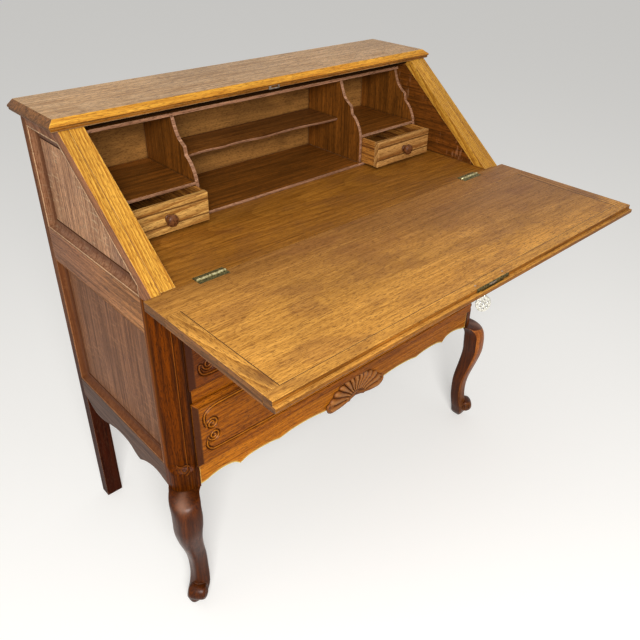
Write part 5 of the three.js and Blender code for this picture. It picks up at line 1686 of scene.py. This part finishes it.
@dataclass
class LongDrawerFront(SubAssembly):
    """One wide drawer front with a moulded lip, two carved curls at each end and turned knobs."""

    label: str
    # across and up to the eye, radius, way of turning
    curls: tuple
    # distance from the end, height above the lower edge
    flow: tuple
    crest: tuple
    proud: float = 12 * MM
    plug: float = 12 * MM
    lip_side: float = 5.4 * MM
    lip_height: float = 6.7 * MM
    lip_edge: float = 3.5 * MM
    mould_width: float = 8 * MM
    step: float = 1.6 * MM
    ridge_height: float = 0.6 * MM
    side_tone: float = 1.0
    edge_tone: float = 0.15
    line_half: float = 2.5 * MM
    line_depth: float = 3.2 * MM
    line_width: float = 1.4 * MM
    knob_share: float = 0.6
    knob_radius: float = 14 * MM
    fine: float = 1.0 * MM
    coarse: float = 12 * MM
    fine_zone: float = 70 * MM

    def build(self) -> None:
        """Makes the front and its knobs."""
        node = f"long_drawer_{self.label}_front"
        low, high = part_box(node)
        body = f"long_drawer_{self.label}"
        back = self.case.front - 0.3 * MM
        half = high.x
        # the upper front takes the finish painted darker as the fall's shade
        finish = "drawer_upper" if self.label == "upper" else "drawer"
        plug = block((-half + self.lip_side, back - 0.1 * MM, low.z + self.lip_height),
                     (half - self.lip_side, self.case.front + self.plug, high.z - self.lip_height))
        face, tone = self._face(low.z, high.z, half, back)
        self.add_solids(f"{node}_carved", [face, plug], body, finish, "drawer_oak", node, tones=[tone, 0.0])
        knobs = [
            turned(knob_profile(self.knob_radius), Vector((
                side * self.knob_share * half, self.case.front - self.proud, (low.z + high.z) / 2,
            )), Vector(FORWARDS))
            for side in SIDES.values()
        ]
        self.add_solids(f"{node}_knobs", knobs, body, "knob", "drawer_oak")

    def _face(self, foot: float, head: float, half: float, back: float) -> tuple[Solid, np.ndarray]:
        """Carves the face.

        Args:
            foot: Level of the lower edge.
            head: Level of the upper edge.
            half: Half the width.
            back: Depth of the lip's back.

        Returns:
            The face's points and faces, and the tone of each point.
        """
        zone = self.fine_zone
        xs = graded([(-half, -half + zone, self.fine), (-half + zone, half - zone, self.coarse),
                     (half - zone, half, self.fine)])
        rows = graded([(foot, head, self.fine)])
        us, vs = np.meshgrid(xs, rows, indexing="ij")
        ends, rails = half - np.abs(us), np.minimum(vs - foot, head - vs)
        edge = np.minimum(ends, rails)
        rise = (self.proud - self.step - self.lip_edge) * np.clip(edge / self.mould_width, 0, 1)
        height = self.lip_edge + rise + self.step * (edge > self.mould_width)
        grooves, ridge = self._lines(ends, vs - foot)
        height += self.ridge_height * ridge - self.line_depth * grooves
        # tones: painted shade and dirt on the end moulds, a little on the rails' moulds, in the quirk and in
        # the grooves; painted highlight and wear on the ridges
        mould = np.where(ends < rails, self.side_tone, self.edge_tone) * (edge < self.mould_width)
        quirk = np.exp(-((edge - self.mould_width) / (1.0 * MM)) ** 2)
        tones = np.clip(mould + 0.8 * quirk + grooves - ridge, -1, 1)
        return board(xs, vs, self.case.front - height, back), board_tones(tones)

    def _lines(self, us: np.ndarray, vs: np.ndarray) -> tuple[np.ndarray, np.ndarray]:
        """Lays out the carved lines, each a ridge between two grooves.

        Args:
            us: Distance inwards from the end.
            vs: Height above the lower edge.

        Returns:
            How deep the grooves and how high the ridges are at each place, from 0 to 1.
        """
        grooves, ridge = np.zeros(us.shape), np.zeros(us.shape)
        for path in self._paths():
            away = distance_to(path, us, vs)
            grooves = np.maximum(grooves, np.exp(-((away - self.line_half) / self.line_width) ** 2))
            ridge = np.maximum(ridge, np.exp(-(away / self.line_width) ** 2))
        return grooves, ridge

    def _paths(self) -> list[Outline]:
        """Lays out the curls and the lines that flow from them.

        Returns:
            Paths as distances from the end and heights above the lower edge.
        """
        paths = []
        for across, up, radius, turn in self.curls:
            path = []
            for i in range(61):
                share = i / 60
                angle = math.pi + turn * (1 - share) * 3.3 * math.pi
                reach = radius * (0.14 + 0.86 * share ** 0.8)
                path.append(((across + reach * math.cos(angle)) * MM, (up + reach * math.sin(angle)) * MM))
            paths.append(path)
        for line in (self.flow, self.crest):
            paths.append([(u * MM, v * MM) for u, v in between(line, 6)])
        return paths


def knob_profile(radius: float) -> Outline:
    """Draws a knob with a neck and a rounded head.

    Args:
        radius: The head's radius.

    Returns:
        Radius and height of each step.
    """
    rows = [
        (0.62, -0.1), (0.62, 0.08), (0.5, 0.16), (0.4, 0.36), (0.42, 0.56), (0.62, 0.72), (0.9, 0.92),
        (1.0, 1.15), (0.96, 1.36), (0.8, 1.56), (0.5, 1.7), (0.2, 1.75), (0.01, 1.76),
    ]
    return [(max(r, 0.01) * radius, h * radius) for r, h in between(rows, 4)]



@dataclass
class SmallDrawers(SubAssembly):
    """Fronts of the two small drawers, each with two grooves and a turned knob."""

    thickness: float = 12 * MM
    groove: float = 1.6 * MM
    groove_half: float = 1.7 * MM
    groove_shares: tuple = (0.26, 0.77)
    knob_radius: float = 12.0 * MM
    edge_depth: float = 0.8 * MM
    edge_width: float = 1.0 * MM
    rim: float = 2 * MM
    fine: float = 0.5 * MM
    coarse: float = 12 * MM

    def build(self) -> None:
        """Makes both fronts and their knobs."""
        for label in SIDES:
            node = f"small_drawer_{label}_front"
            low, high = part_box(node)
            back = high.y
            face = back - self.thickness
            rim = self.rim
            xs = graded([(low.x, low.x + rim, self.fine), (low.x + rim, high.x - rim, self.coarse),
                         (high.x - rim, high.x, self.fine)])
            rows = graded([(low.z, high.z, self.fine)])
            us, vs = np.meshgrid(xs, rows, indexing="ij")
            edge = np.minimum(np.minimum(us - low.x, high.x - us), np.minimum(vs - low.z, high.z - vs))
            depth = self.edge_depth * np.clip(1 - edge / self.edge_width, 0, 1) ** 2
            tones = np.zeros(us.shape)
            for share in self.groove_shares:
                away = vs - (low.z + share * (high.z - low.z))
                cut = np.exp(-(away / self.groove_half) ** 4)
                depth += self.groove * cut
                # the grooves get painted shade and dirt
                tones += cut
            body = f"small_drawer_{label}"
            self.add_solids(f"{node}_grooved", [board(xs, vs, face + depth, back)], body, "small",
                            "small_drawer_oak", node, tones=[board_tones(tones)])
            place = Vector(((low.x + high.x) / 2, face, (low.z + high.z) / 2))
            knob = turned(knob_profile(self.knob_radius), place, Vector(FORWARDS))
            self.add_solids(f"small_drawer_{label}_knob", [knob], body, "knob", "small_drawer_oak")


@dataclass
class WavedShelf(SubAssembly):
    """Middle shelf of the pigeonholes, sawn to a waved front edge."""

    node: str = "unit_shelf_middle"
    # share of the shelf's width from the left, how many millimetres the edge is set back
    wave: tuple = (
        (0.0, 0.0), (0.05, 2.5), (0.12, 7.5), (0.18, 9.0), (0.23, 7.0), (0.26, 5.0), (0.3, 7.0), (0.36, 9.0),
        (0.43, 6.5), (0.49, 3.0), (0.53, 2.6), (0.58, 4.5), (0.65, 6.5), (0.71, 7.5), (0.76, 7.0), (0.81, 4.0),
        (0.87, 1.2), (0.93, 0.2), (1.0, 0.0),
    )
    edge: float = 0.8 * MM

    def build(self) -> None:
        """Makes the shelf."""
        low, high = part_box(self.node)
        line = [
            (low.x + share * (high.x - low.x), low.y + back * MM) for share, back in between(self.wave, 4)
        ]
        rings = []
        for level, back in ((low.z, 3.5 * self.edge), ((low.z + high.z) / 2, self.edge / 2),
                            (high.z - self.edge, 0.0), (high.z, self.edge)):
            ring = [(x, y + back, level) for x, y in line]
            rings.append([*ring, (high.x, high.y, level), (low.x, high.y, level)])
        self.add_solids(f"{self.node}_waved", [loft(rings)], "case", "middle_shelf", "interior_oak", self.node,
                        sharp=50)


@dataclass
class Plate:
    """A flat plate with rounded edges and holes, cut from an outline in its own plane."""

    loops: list
    thickness: float
    rim: float

    def mesh(self, name: str, turn: Matrix) -> bpy.types.Mesh:
        """Cuts the plate.

        Args:
            name: The mesh's name.
            turn: Where the plate's plane lies.

        Returns:
            The mesh.
        """
        curve = bpy.data.curves.new(name, "CURVE")
        curve.dimensions = "2D"
        curve.fill_mode = "BOTH"
        curve.extrude = self.thickness / 2 - self.rim
        curve.bevel_depth = self.rim
        curve.bevel_resolution = 2
        for loop in self.loops:
            spline = curve.splines.new("POLY")
            spline.points.add(len(loop) - 1)
            for point, (u, v) in zip(spline.points, loop):
                point.co = (u, v, 0.0, 1.0)
            spline.use_cyclic_u = True
        shape = stand(name, curve)
        mesh = bpy.data.meshes.new_from_object(shape.evaluated_get(bpy.context.evaluated_depsgraph_get()))
        bpy.data.objects.remove(shape)
        mesh.transform(turn)
        return mesh


def ring(u: float, v: float, radius: float, steps: int = 20) -> Outline:
    """Draws a round hole.

    Args:
        u: Its middle across.
        v: Its middle up.
        radius: Its radius.
        steps: The number of points.

    Returns:
        The loop's points.
    """
    turns = [2 * math.pi * i / steps for i in range(steps)]
    return [(u + radius * math.cos(turn), v + radius * math.sin(turn)) for turn in turns]


@dataclass
class Hinges(SubAssembly):
    """Screws and bright sleeves of the two hinges."""

    pin_y: float = -51.689 * MM
    screw_radius: float = 2.4 * MM
    screw_inset: float = 4.5 * MM
    screw_shares: tuple = (0.14, 0.5, 0.86)
    sleeve_gap: float = 1 * MM
    sleeve_rows: tuple = ((2.4, 0.0), (3.0, 0.6))

    def build(self) -> None:
        """Sets the screws, and turns a sleeve for each pin."""
        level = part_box("writing_bed")[1].z
        for label in SIDES:
            for leaf, body in (("hinge_bed_leaf", "case"), ("hinge_fall_leaf", "fall")):
                low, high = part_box(f"{leaf}_{label}")
                y = low.y + self.screw_inset if body == "fall" else high.y - self.screw_inset
                heads = [
                    screw(Vector((low.x + share * (high.x - low.x), y, level)), self.screw_radius)
                    for share in self.screw_shares
                ]
                self.add_solids(f"{leaf}_screws_{label}", heads, body, "bronze", "bronze")
            low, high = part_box(f"hinge_bed_leaf_{label}")
            length = high.x - low.x - 2 * self.sleeve_gap
            near = [(radius * MM, along * MM) for radius, along in self.sleeve_rows]
            far = [(radius, length - along) for radius, along in reversed(near)]
            rows = [(0.2 * MM, 0.0), *near, *far, (0.2 * MM, length)]
            sleeve = turned(rows, Vector((low.x + self.sleeve_gap, self.pin_y, level)), Vector(SIDEWAYS), 20)
            self.add_solids(f"hinge_sleeve_{label}", [sleeve], "case", "bright_brass", "bronze")


def screw(place: Vector, radius: float) -> Solid:
    """Turns a screw's low head, which faces up.

    Args:
        place: The middle of its seat.
        radius: Its radius.

    Returns:
        The head's points and faces.
    """
    rows = [(1.0, -0.3), (1.0, 0.06), (0.86, 0.2), (0.5, 0.3), (0.2, 0.33), (0.01, 0.335)]
    return turned([(r * radius, h * radius) for r, h in rows], place, Vector(UPWARDS), 16)


@dataclass
class FallJoints(SubAssembly):
    """Old wax and dirt in the fall's joints, which shrinking has opened, with the painted shade of the open
    joints.
    """

    width: float = 1.3 * MM
    sunk: float = 1 * MM
    proud: float = 0.04 * MM

    def build(self) -> None:
        """Fills the joints."""
        (_, left), (right, _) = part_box("fall_stile_left"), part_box("fall_stile_right")
        front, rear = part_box("fall_front_rail")[1].y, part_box("fall_rear_rail")[0].y
        half, foot, head = self.width / 2, left.z - self.sunk, left.z + self.proud
        lines = [block((x - half, front, foot), (x + half, rear, head)) for x in (left.x, right.x)]
        lines.append(block((left.x, front - half, foot), (right.x, front + half / 2, head)))
        self.add_solids("fall_joint_dirt", lines, "fall", "gap", "writing_oak")


@dataclass
class Lock(SubAssembly):
    """Strike plate, keyhole plate, the lock's screws, and the key with its pierced bow."""

    lock_x: float = -7 * MM
    plate: float = 1.2 * MM
    screw_radius: float = 2 * MM
    screw_shares: tuple = (0.07, 0.93)
    # Places on the strike plate in millimetres, from its middle across and its foot up
    strike_x: float = -8 * MM
    strike_half_width: float = 13.5
    strike_height: float = 8.4
    strike_slot: tuple = ((-8.5, 2.0), (10.5, 6.4))
    strike_holes: tuple = ((-11.0, 4.0), (12.0, 4.0))
    strike_hole_radius: float = 0.9
    keyhole_radius: float = 4.3 * MM
    escutcheon: tuple[float, float] = (9 * MM, 10.5 * MM)
    escutcheon_wave: float = 0.07
    bow_width: float = 25 * MM
    bow_height: float = 31 * MM
    bow_thickness: float = 2.4 * MM
    bow_rim: float = 0.8 * MM
    bow_turn: float = math.radians(-43)
    bow_wave: float = 0.06
    hole_count: int = 6
    hole_reach: tuple[float, float] = (7.0 * MM, 8.6 * MM)
    hole_radius: float = 2.7 * MM
    middle_hole_radius: float = 3.0 * MM
    # radius, height above the bow's top less 1.5 mm
    collar_rows: tuple = ((0.1, -1.0), (3.4, 0.0), (3.9, 2.0), (2.4, 4.0), (1.8, 5.5))
    shank_radius: float = 1.8 * MM
    bit: Point = (4.4 * MM, 0.9 * MM, 3 * MM)

    def build(self) -> None:
        """Makes the lock's fittings and the key."""
        self._strike()
        self._keyhole()
        low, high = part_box("lock_case")
        heads = [
            screw(Vector((low.x + share * (high.x - low.x), (low.y + high.y) / 2, high.z)), self.screw_radius)
            for share in self.screw_shares
        ]
        self.add_solids("lock_screws", heads, "fall", "steel", "steel")
        self._key()

    def _oval(self, half: tuple[float, float], steps: int, wave: Callable[[float], float]) -> list:
        """Draws an oval with a waved rim.

        Args:
            half: Half its width and half its height.
            steps: The number of points.
            wave: The share of the oval's reach at an angle.

        Returns:
            The loop's points.
        """
        turns = [2 * math.pi * i / steps for i in range(steps)]
        return [
            (half[0] * wave(turn) * math.cos(turn), half[1] * wave(turn) * math.sin(turn)) for turn in turns
        ]

    def _strike(self) -> None:
        """Lets the strike plate into the front edge of the top."""
        low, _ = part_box("top_board")
        whole = (-self.strike_half_width, 0.0), (self.strike_half_width, self.strike_height)
        loops = [
            [(x0, z0), (x1, z0), (x1, z1), (x0, z1)] for (x0, z0), (x1, z1) in (whole, self.strike_slot)
        ] + [ring(u, v, self.strike_hole_radius, 12) for u, v in self.strike_holes]
        loops = [[(u * MM, v * MM) for u, v in loop] for loop in loops]
        turn = Matrix.Translation((self.strike_x, low.y + 0.9 * MM, low.z + 0.1 * MM)) @ Matrix.Rotation(
            math.pi / 2, 4, "X")
        plate = Plate(loops, self.plate, 0.2 * MM)
        self.add("strike_plate", plate.mesh("strike_plate", turn), "case", "steel", "steel")

    def _keyhole(self) -> None:
        """Fixes the keyhole plate to the fall's outer face, round the key."""
        near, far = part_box("key")
        outline = self._oval(self.escutcheon, 48, lambda turn: 1 + self.escutcheon_wave * math.cos(4 * turn))
        place = (self.lock_x, (near.y + far.y) / 2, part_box("fall_stile_left")[0].z - 0.7 * MM)
        plate = Plate([outline, ring(0, 0, self.keyhole_radius)], self.plate, 0.3 * MM)
        mesh = plate.mesh("keyhole_plate", Matrix.Translation(place))
        self.add("keyhole_plate", mesh, "fall", "bronze", "bronze")

    def _key(self) -> None:
        """Makes the key's bow and its shank with the bit."""
        low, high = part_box("key")
        foot = Vector((self.lock_x, (low.y + high.y) / 2, low.z))
        turned_foot = Matrix.Translation(foot) @ Matrix.Rotation(self.bow_turn, 4, "Z")
        loops = [self._oval((self.bow_width / 2, self.bow_height / 2), 160, lambda turn: (
            1 + self.bow_wave * abs(math.cos(5 * turn)) ** 0.5 - self.bow_wave))]
        for i in range(self.hole_count):
            turn = math.pi / 2 + 2 * math.pi * i / self.hole_count
            loops.append(ring(self.hole_reach[0] * math.cos(turn), self.hole_reach[1] * math.sin(turn),
                              self.hole_radius))
        loops.append(ring(0, 0, self.middle_hole_radius))
        lift = Matrix.Translation((0, 0, self.bow_height / 2)) @ Matrix.Rotation(math.pi / 2, 4, "X")
        bow = Plate(loops, self.bow_thickness, self.bow_rim)
        self.add("key_bow", bow.mesh("key_bow", turned_foot @ lift), "key", "silver", "silver")
        top, start = high.z - low.z, self.bow_height - 1.5 * MM
        rows = [(radius * MM, start + height * MM) for radius, height in self.collar_rows]
        rows += [(self.shank_radius, top - 0.4 * MM), (1.2 * MM, top)]
        reach, half, height = self.bit
        points, faces = block((0.0, -half, top - height), (reach, half, top))
        bit = [turned_foot @ Vector(point) for point in points], faces
        self.add_solids("key_shank", [turned(rows, foot, Vector(UPWARDS), 24), bit], "key", "silver", "silver",
                        "key")


@dataclass
class Studio:
    """Pale floor, soft lamps and the camera."""

    eye: Point = (-0.8692, -0.8855, 1.3019)
    azimuth: float = math.radians(-43.15)
    fall: float = math.radians(31.44)
    roll: float = math.radians(1.11)
    lens: float = 37.61
    shift: tuple[float, float] = (-0.0093, -0.0316)
    floor_size: float = 80.0
    floor_light: int = 0xE4E2DE
    # Warm and dim, since wood all round it would light the object so
    floor_bounce: int = 0x7C6F60
    floor_glow: float = 0.36
    room_bounce: float = 0.3
    room_seen: float = 0.85
    # name, place, target, size, watts
    lamps: tuple = (
        ("front_softbox", (-1.35, -1.7, 1.8), (0.0, -0.3, 0.7), 0.9, 64.0),
        ("overhead_softbox", (-0.4, -0.2, 3.2), (0.0, 0.0, 0.6), 2.6, 14.0),
    )

    def build(self) -> None:
        """Makes the camera, the floor, the world and the lamps."""
        self._camera()
        self._floor()
        self._world()
        for name, place, target, size, power in self.lamps:
            self._lamp(name, Vector(place), Vector(target), size, power)

    def _camera(self) -> None:
        """Stands the camera in front and to the left, looking down on the open fall."""
        data = bpy.data.cameras.new("camera")
        data.lens = self.lens
        data.sensor_width = 36.0
        data.shift_x, data.shift_y = self.shift
        camera = stand("camera", data)
        ahead = Vector((
            -math.sin(self.azimuth) * math.cos(self.fall),
            math.cos(self.azimuth) * math.cos(self.fall),
            -math.sin(self.fall),
        ))
        right = Vector((math.cos(self.azimuth), math.sin(self.azimuth), 0.0))
        up = right.cross(ahead)
        turned_right = right * math.cos(self.roll) + up * math.sin(self.roll)
        raised = up * math.cos(self.roll) - right * math.sin(self.roll)
        turn = Matrix((turned_right, raised, -ahead)).transposed()
        camera.matrix_world = Matrix.Translation(self.eye) @ turn.to_4x4()
        bpy.context.scene.camera = camera

    def _seen(self, tree: Tree) -> Socket:
        """Tells what the camera and reflections see from what lights the object.

        Args:
            tree: The material's or the world's tree.

        Returns:
            1 for camera and glossy rays, otherwise 0.
        """
        path = add_node(tree, "LightPath")
        return add_node(tree, "Math", {
            0: path.outputs["Is Camera Ray"], 1: path.outputs["Is Glossy Ray"],
        }, operation="MAXIMUM").outputs[0]

    def _floor(self) -> None:
        """Lays a pale floor that shows the object's shadow."""
        half = self.floor_size / 2
        mesh = bpy.data.meshes.new("floor")
        edge = [(-half, -half, 0.0), (half, -half, 0.0), (half, half, 0.0), (-half, half, 0.0)]
        mesh.from_pydata(edge, [], [(0, 1, 2, 3)])
        floor = stand("floor", mesh)
        material, tree = new_material("pale_floor")
        seen = self._seen(tree)
        colour = add_node(tree, "Mix", {
            "Factor": seen, "A": linear(self.floor_bounce), "B": linear(self.floor_light),
        }, data_type="RGBA")
        diffuse = add_node(tree, "BsdfDiffuse", {"Color": colour.outputs["Result"]})
        lift = add_node(tree, "Math", {0: seen, 1: self.floor_glow}, operation="MULTIPLY")
        glow = add_node(tree, "Emission", {
            "Color": linear(0xF4F3F0), "Strength": lift.outputs[0],
        })
        both = add_node(tree, "AddShader", {0: diffuse.outputs[0], 1: glow.outputs[0]})
        add_node(tree, "OutputMaterial", {"Surface": both.outputs[0]})
        mesh.materials.append(material)

    def _world(self) -> None:
        """Fills the room with even white light."""
        world = bpy.data.worlds.new("studio")
        world.use_nodes = True
        world.node_tree.nodes.clear()
        tree = world.node_tree
        level = add_node(tree, "MapRange", {
            "Value": self._seen(tree), "To Min": self.room_bounce, "To Max": self.room_seen,
        })
        light = add_node(tree, "Background", {
            "Color": linear(0xFFFFFF), "Strength": level.outputs["Result"],
        })
        add_node(tree, "OutputWorld", {"Surface": light.outputs[0]})
        bpy.context.scene.world = world

    def _lamp(self, name: str, place: Vector, target: Vector, size: float, power: float) -> None:
        """Hangs one square softbox.

        Args:
            name: The lamp's name.
            place: Where it hangs.
            target: What it points at.
            size: The length of its side.
            power: Its power in watts.
        """
        data = bpy.data.lights.new(name, "AREA")
        data.size = size
        data.energy = power
        lamp = stand(name, data)
        lamp.location = place
        lamp.rotation_mode = "QUATERNION"
        lamp.rotation_quaternion = (target - place).to_track_quat("-Z", "Y")


def main() -> None:
    """Builds the bureau's looks in order."""
    logging.basicConfig(level=logging.INFO, format="%(message)s")
    bpy.context.scene.view_settings.view_transform = "Standard"
    wardrobe = Wardrobe()
    CarriedNodes().build(wardrobe)
    LOG.info("dressed %d nodes", len(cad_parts))
    base = (Case.measure(), wardrobe)
    for part in (
        *(CabrioleLeg(*base, *side) for side in SIDES.items()),
        *(FrontPost(*base, *side) for side in SIDES.items()), SidePanels(*base), Apron(*base),
        LongDrawerFront(
            *base, "lower",
            curls=((34.5, 95.5, 13.0, -1), (36.5, 66.4, 12.5, 1)),
            flow=((24.0, 66.4), (20.5, 55.0), (22.0, 44.0), (30.0, 36.0), (42.0, 33.6), (120.0, 31.6),
                  (190.0, 30.6), (300.0, 30.0), (418.0, 30.0)),
            crest=((21.5, 95.5), (18.5, 108.0), (20.0, 122.0), (30.0, 131.0), (48.0, 135.0), (90.0, 136.5),
                   (150.0, 137.0), (300.0, 137.0), (418.0, 137.0)),
        ),
        LongDrawerFront(
            *base, "upper",
            curls=((36.5, 78.0, 13.0, -1), (38.0, 48.0, 12.0, 1)),
            flow=((26.0, 48.0), (20.0, 52.0), (19.0, 42.0), (24.0, 31.0), (36.0, 26.9), (62.0, 26.5),
                  (120.0, 27.0), (300.0, 28.0), (418.0, 28.0)),
            crest=((23.5, 78.0), (19.5, 96.0), (20.5, 114.0), (30.0, 128.0), (48.0, 134.0), (90.0, 137.0),
                   (150.0, 138.5), (300.0, 139.0), (418.0, 139.0)),
        ),
        WavedShelf(*base), SmallDrawers(*base), Hinges(*base), FallJoints(*base), Lock(*base), Studio(),
    ):
        part.build()
        LOG.info("%s ready", type(part).__name__)


if __name__ == "__main__":
    main()
